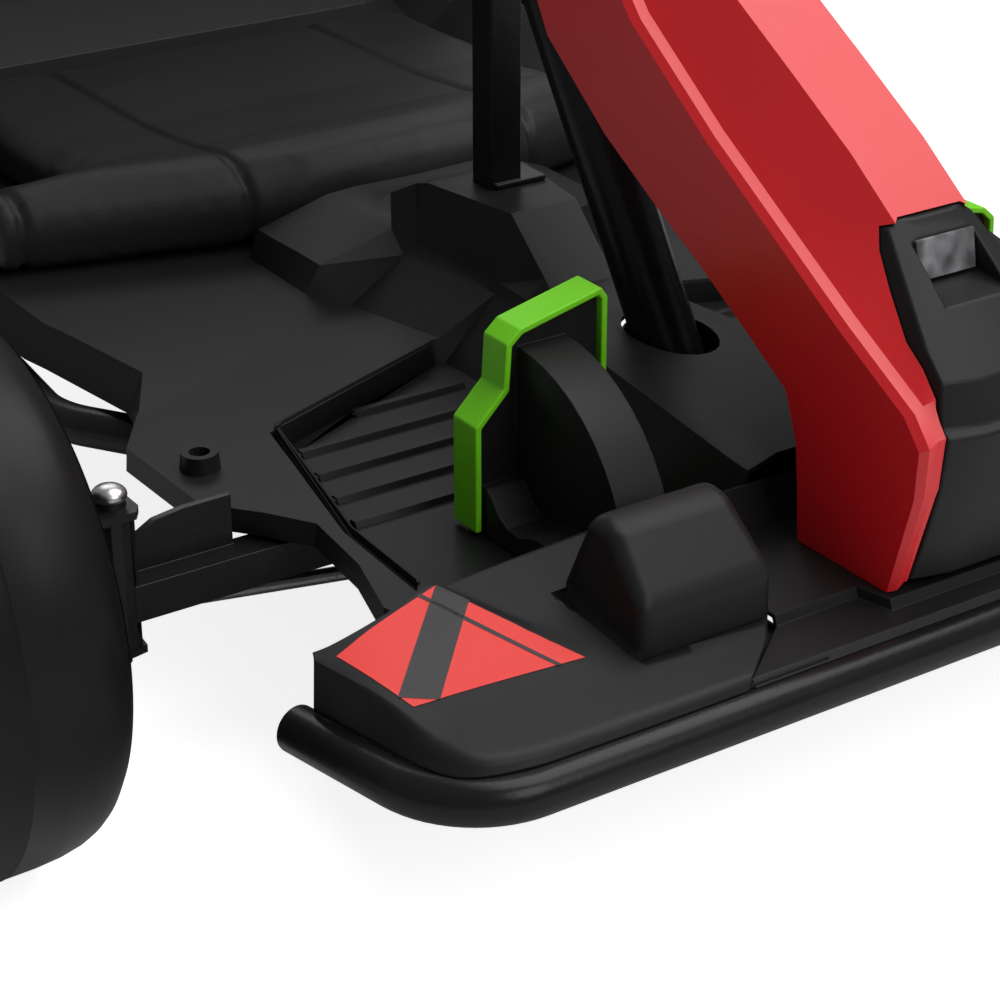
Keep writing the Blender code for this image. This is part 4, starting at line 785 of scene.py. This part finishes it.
cover = {                    # each line: x, behind the bumper tube's middle, z
    "back": ((0.1125, 0.1110, 0.1460), (0.160, 0.1105, 0.1450),
             (0.2090, 0.1090, 0.1445), (0.2467, 0.1060, 0.1436),
             (0.2720, 0.0985, 0.1413), (0.2900, 0.0945, 0.1395),
             (0.3060, 0.0935, 0.1368), (0.3140, 0.0945, 0.1355)),
    "crease": ((0.1125, 0.0305, 0.1205), (0.170, 0.0370, 0.1222),
               (0.2150, 0.0410, 0.1237), (0.2480, 0.0430, 0.1245),
               (0.2700, 0.0450, 0.1250), (0.2810, 0.0480, 0.1258),
               (0.2980, 0.0700, 0.1322), (0.3150, 0.0920, 0.1350)),
    "lip": ((0.1480, 0.0020, 0.1145), (0.1900, 0.0022, 0.1145),
            (0.2300, 0.0030, 0.1146), (0.2620, 0.0042, 0.1150),
            (0.2845, 0.0098, 0.1160), (0.2955, 0.0260, 0.1190),
            (0.3040, 0.0560, 0.1270), (0.3160, 0.0900, 0.1340)),
    "foot": ((0.1520, -0.0005, 0.1095), (0.1900, -0.0005, 0.1095),
             (0.2330, 0.0000, 0.1095), (0.2650, 0.0012, 0.1095),
             (0.2900, 0.0085, 0.1095), (0.3020, 0.0250, 0.1095),
             (0.3105, 0.0600, 0.1095), (0.3170, 0.0900, 0.1095)),
    "rounds": (0.030, 0.0042),
    "endRound": 0.0085,
    "endFrom": 0.55,         # share of the length where the lip's round starts to grow
    "endRun": 0.25,
    "straight": (30, 12, 5),
    "bend": 7,
    "columns": 130,
    "fieldInner": (0.2467, -0.5020),     # inner edge of the raised field, from the rear to where it fades
    "fieldFade": (0.2075, -0.5680),
    "fieldStep": 0.0050,
    "fieldSlope": 0.0070,
    "pocket": 0.0012,
    "wall": 0.0022,
}


def eased(value):
    value = min(max(value, 0.0), 1.0)
    return value * value * (3 - 2 * value)


def makeCover(word, side):
    lines = []
    for step in range(cover["columns"] + 1):
        share = step / cover["columns"]
        line = [along(cover[name], share) for name in ("back", "crease", "lip", "foot")]
        soft, tight = cover["rounds"]
        lip = tight + (cover["endRound"] - tight) * eased((share - cover["endFrom"]) / cover["endRun"])
        lines.append(softLine(line, (soft, lip), cover["straight"], cover["bend"]))
    mesh = gridSheet(lines)
    start, stop = Vector(cover["fieldInner"]), Vector(cover["fieldFade"])
    length = (stop - start).length
    run = (stop - start) / length
    for vert in mesh.verts:
        vert.co.y += bumperMiddle
        offset = Vector(vert.co.xy) - start
        ahead = offset.dot(run)
        inwards = offset.cross(run)
        fade = 1 - min(max(ahead / length, 0), 1)
        vert.co.z -= cover["fieldStep"] * fade * eased(inwards / cover["fieldSlope"])
        vert.co.x *= side
    openPocket(mesh, side)
    bmesh.ops.recalc_face_normals(mesh, faces=mesh.faces)
    mesh.normal_update()
    if sum(face.normal.z * face.calc_area() for face in mesh.faces) < 0:
        bmesh.ops.reverse_faces(mesh, faces=mesh.faces)
    tree = BVHTree.FromBMesh(mesh)
    made = settle(finished("cover" + word.title(), mesh, finishes["plastic"]), "bumper_cover_" + word)
    wall = made.modifiers.new("wall", "SOLIDIFY")
    wall.thickness = cover["wall"]
    wall.offset = -1
    wall.thickness_clamp = 1
    return tree


def openPocket(mesh, side):
    # the gap round the pedal housing
    front, rear = hump["rows"][0], hump["rows"][-1]
    near = bumperMiddle + front[0] - cover["pocket"]
    outer = Vector((side * (front[2] + cover["pocket"]), near, 0))
    outerFar = Vector((side * (rear[2] + cover["pocket"]), bumperMiddle + rear[0], 0))
    slant = (outerFar - outer).cross(Vector((0, 0, 1))).normalized()
    if slant.x * side < 0:
        slant = -slant
    far = bumperMiddle + rear[0] + cover["pocket"]
    ahead = Vector((0, 1, 0))
    for place, normal in ((outer, ahead), (Vector((0, far, 0)), ahead), (outer, slant)):
        everything = mesh.verts[:] + mesh.edges[:] + mesh.faces[:]
        bmesh.ops.bisect_plane(mesh, geom=everything, plane_co=place, plane_no=normal)
    middles = [(face, face.calc_center_median()) for face in mesh.faces]
    inside = [face for face, middle in middles
              if near < middle.y < far and (middle - outer).dot(slant) < 0]
    bmesh.ops.delete(mesh, geom=inside, context="FACES")


# Sticker on the right and left cover: red field with one broad bar and one thin line, plain stripes

sticker = {
    "field": ((0.2462, -0.5042), (0.3070, -0.5215), (0.2935, -0.5610), (0.2090, -0.5660)),
    "bar": ((0.2457, -0.5040), (0.2968, -0.5540), (0.2811, -0.5622), (0.2370, -0.5175)),
    "line": ((0.2574, -0.5066), (0.2550, -0.5062), (0.2210, -0.5658), (0.2236, -0.5655)),
    "lift": 0.0003,
    "barLift": 0.0005,
    "steps": 26,
}
castFrom = 0.3               # above every surface that a piece is laid on


def dropped(tree, x, y):
    hit, normal, face, distance = tree.ray_cast(Vector((x, y, castFrom)), Vector((0, 0, -1)))
    return hit, normal


def drape(name, corners, side, lift, tree, finish, nodeName):
    mesh = bmesh.new()
    bmesh.ops.create_grid(mesh, x_segments=sticker["steps"], y_segments=sticker["steps"], size=1)
    first, second, third, fourth = (Vector(corner) for corner in corners)
    for vert in mesh.verts:
        across, down = (vert.co.x + 1) / 2, (vert.co.y + 1) / 2
        flat = first.lerp(second, across).lerp(fourth.lerp(third, across), down)
        hit, normal = dropped(tree, side * flat.x, flat.y)
        vert.co = hit + normal * lift
    bmesh.ops.recalc_face_normals(mesh, faces=mesh.faces)
    mesh.normal_update()
    if sum(face.normal.z for face in mesh.faces) < 0:
        bmesh.ops.reverse_faces(mesh, faces=mesh.faces)
    settle(finished(name, mesh, finish), nodeName, False)


for word, side in (("right", -1), ("left", 1)):
    tree = makeCover(word, side)
    drape("stickerField" + word.title(), sticker["field"], side, sticker["lift"], tree, finishes["sticker"],
          "bumper_cover_" + word)
    for name in ("bar", "line"):
        drape("sticker" + name.title() + word.title(), sticker[name], side, sticker["barLift"], tree,
              finishes["stickerBar"], "bumper_cover_" + word)
print("covers and stickers made")

# Dark well under the slot that the column passes through, and fine details of the floor

well = {
    "half": 0.0222,
    "halfLength": 0.0350,
    "middle": -0.3560,
    "top": 0.1500,
    "depth": 0.040,
    "wall": 0.001,
    "sides": 48,
}


def makeWell():
    mesh = bmesh.new()
    bmesh.ops.create_circle(mesh, segments=well["sides"], radius=1)
    for vert in mesh.verts:
        vert.co = (vert.co.x * well["half"], well["middle"] + vert.co.y * well["halfLength"], well["top"])
    pushed(mesh, mesh.edges[:], (0, 0, -well["depth"]))
    middle = well["top"] - well["depth"] / 2
    bottom = [edge for edge in mesh.edges if edge.is_boundary and edge.verts[0].co.z < middle]
    bmesh.ops.holes_fill(mesh, edges=bottom, sides=0)
    bmesh.ops.recalc_face_normals(mesh, faces=mesh.faces)
    bmesh.ops.solidify(mesh, geom=mesh.faces[:], thickness=-well["wall"])
    settle(finished("columnWell", mesh, finishes["plastic"]), "floor_tray", False)


makeWell()

# Floor details: lip round each footwell, bars on its floor, closing plates and bolt heads

floorDetail = {
    "border": ((0.078, -0.2375), (0.203, -0.2845), (0.2310, -0.4070), (0.2335, -0.4700)),
    "borderBend": 0.011,
    "borderRadius": 0.0016,
    "level": 0.1250,         # height of the floor round the footwell
    "borderReach": 0.012,    # the lip follows the floor only where it is this close to that height
    "borderSag": 0.004,
    "bars": (                # y, inner x, outer x
        (-0.2720, 0.098, 0.150), (-0.2996, 0.098, 0.199), (-0.3272, 0.098, 0.205), (-0.3548, 0.098, 0.211),
        (-0.3825, 0.098, 0.203),
    ),
    "barRadius": 0.0024,
    "barSquash": 0.55,
    "barLift": 0.0006,
    "barBeside": 0.008,      # the floor's height is taken this far beside the bar
}
plates = (                   # name, corner, other corner, finish, node
    ("noseBacking", (-0.100, -0.506, 0.1110), (0.100, -0.380, 0.1130), "plastic", "floor_tray"),
    ("seamBackingRight", (-0.158, -0.6075, 0.1095), (-0.106, -0.572, 0.1112), "plastic",
     "bumper_cover_centre"),
    ("seamBackingLeft", (0.106, -0.6075, 0.1095), (0.158, -0.572, 0.1112), "plastic",
     "bumper_cover_centre"),
)
boltHead = {"place": (0.335, -0.366), "radius": 0.0085, "height": 0.0050, "sunk": 0.0005}


def makePlate(name, low, high, finishName, nodeName):
    mesh = bmesh.new()
    low, high = Vector(low), Vector(high)
    size = high - low
    stretched = Matrix.Translation((low + high) / 2) @ Matrix.Diagonal((*size, 1))
    bmesh.ops.create_cube(mesh, size=1, matrix=stretched)
    settle(finished(name, mesh, finishes[finishName]), nodeName, False)


def makeFloorDetail(word, side):
    tray = copyOf("floor_tray")
    tree = BVHTree.FromBMesh(tray)
    tray.free()
    level = floorDetail["level"]
    corners = [(side * x, y, level) for x, y in floorDetail["border"]]
    border = pipe(corners, floorDetail["borderBend"], floorDetail["borderRadius"])
    for vert in border.verts:
        offset = vert.co.z - level
        hit, normal = dropped(tree, vert.co.x, vert.co.y)
        if hit is not None and abs(hit.z - level) < floorDetail["borderReach"]:
            vert.co.z = max(hit.z, level - floorDetail["borderSag"]) + offset
    settle(finished("border" + word.title(), border, finishes["trayPlastic"]), "floor_tray", False)
    bars = bmesh.new()
    for y, inner, outer in floorDetail["bars"]:
        bar = pipe(((side * inner, y, 0), (side * outer, y, 0)), 0, floorDetail["barRadius"])
        hit, normal = dropped(tree, side * (inner + outer) / 2, y + floorDetail["barBeside"])
        for vert in bar.verts:
            vert.co.z = hit.z + vert.co.z * floorDetail["barSquash"] + floorDetail["barLift"]
        part = bpy.data.meshes.new("bar")
        bar.to_mesh(part)
        bar.free()
        bars.from_mesh(part)
    settle(finished("bars" + word.title(), bars, finishes["trayPlastic"]), "floor_tray", False)
    dome = bmesh.new()
    bmesh.ops.create_uvsphere(dome, u_segments=32, v_segments=16, radius=1)
    centre, half = measured("knuckle_" + word)
    x, y = boltHead["place"]
    radius = boltHead["radius"]
    bmesh.ops.scale(dome, vec=(radius, radius, boltHead["height"]), verts=dome.verts)
    bmesh.ops.translate(dome, vec=(side * x, y, centre.z + half.z - boltHead["sunk"]), verts=dome.verts)
    settle(finished("boltHead" + word.title(), dome, finishes["zinc"]), "knuckle_" + word, False)


for plate in plates:
    makePlate(*plate)
for word, side in (("right", -1), ("left", 1)):
    makeFloorDetail(word, side)
print("floor details made")

# Cushions: each node's shape, a little smaller, swollen as cloth and then sewn

cushions = {
    "seatCushion": {"node": "seat_cushion", "cap": 0.0050, "channels": (0.100, 0.228), "fill": 0.7},
    "backPad": {"node": "seat_back_pad", "cap": 0.0060, "channels": (0.100,), "fill": 0.6},
}
sewing = {
    "shrink": 0.0030,
    "voxel": 0.0050,
    "pressure": 4.0,
    "frames": 20,
    "channelWidth": 0.0055,
    "channelDepth": 0.0032,
}


def baked(made):
    # the object's mesh as its modifiers leave it, with the modifiers taken off
    graph = bpy.context.evaluated_depsgraph_get()
    data = bpy.data.meshes.new_from_object(made.evaluated_get(graph))
    made.modifiers.clear()
    made.data = data


def makeCushion(pieceName, facts):
    mesh = copyOf(facts["node"])
    mesh.normal_update()
    for vert in mesh.verts:
        vert.co -= vert.normal * sewing["shrink"]
    made = finished(pieceName, mesh, finishes["seatCover"])
    remesh = made.modifiers.new("remesh", "REMESH")
    remesh.mode = "VOXEL"
    remesh.voxel_size = sewing["voxel"]
    baked(made)
    swell(made, facts["cap"])
    smoother = made.modifiers.new("finer", "SUBSURF")
    smoother.levels = smoother.render_levels = 1
    baked(made)
    outwards = [vert.normal.copy() for vert in made.data.vertices]
    for vert, normal in zip(made.data.vertices, outwards):
        near = min(abs(abs(vert.co.x) - place) for place in facts["channels"])
        dip = sewing["channelDepth"] * eased(1 - near / sewing["channelWidth"])
        vert.co -= normal * dip
    made.data.materials.clear()
    made.data.materials.append(finishes["seatCover"])
    made.data.shade_smooth()
    settle(made, facts["node"])


def swell(made, cap):
    # no point of the cloth ends more than the cap away from where it starts
    start = [vert.co.copy() for vert in made.data.vertices]
    cloth = made.modifiers.new("cloth", "CLOTH")
    cloth.settings.use_pressure = True
    cloth.settings.uniform_pressure_force = sewing["pressure"]
    cloth.settings.effector_weights.gravity = 0
    cloth.point_cache.frame_start = 1
    cloth.point_cache.frame_end = sewing["frames"]
    for moment in range(1, sewing["frames"] + 1):
        bpy.context.scene.frame_set(moment)
    baked(made)
    for vert, before in zip(made.data.vertices, start):
        move = vert.co - before
        if move.length > cap:
            vert.co = before + move.normalized() * cap
    bpy.context.scene.frame_set(1)


for pieceName, facts in cushions.items():
    makeCushion(pieceName, facts)
    print(pieceName, "made")

# The lamp keeps its CAD shape and gets a finish

lamp = nodes["nose_lamp"].data
lamp.materials.clear()
lamp.materials.append(finishes["lens"])
print("lamp finished")
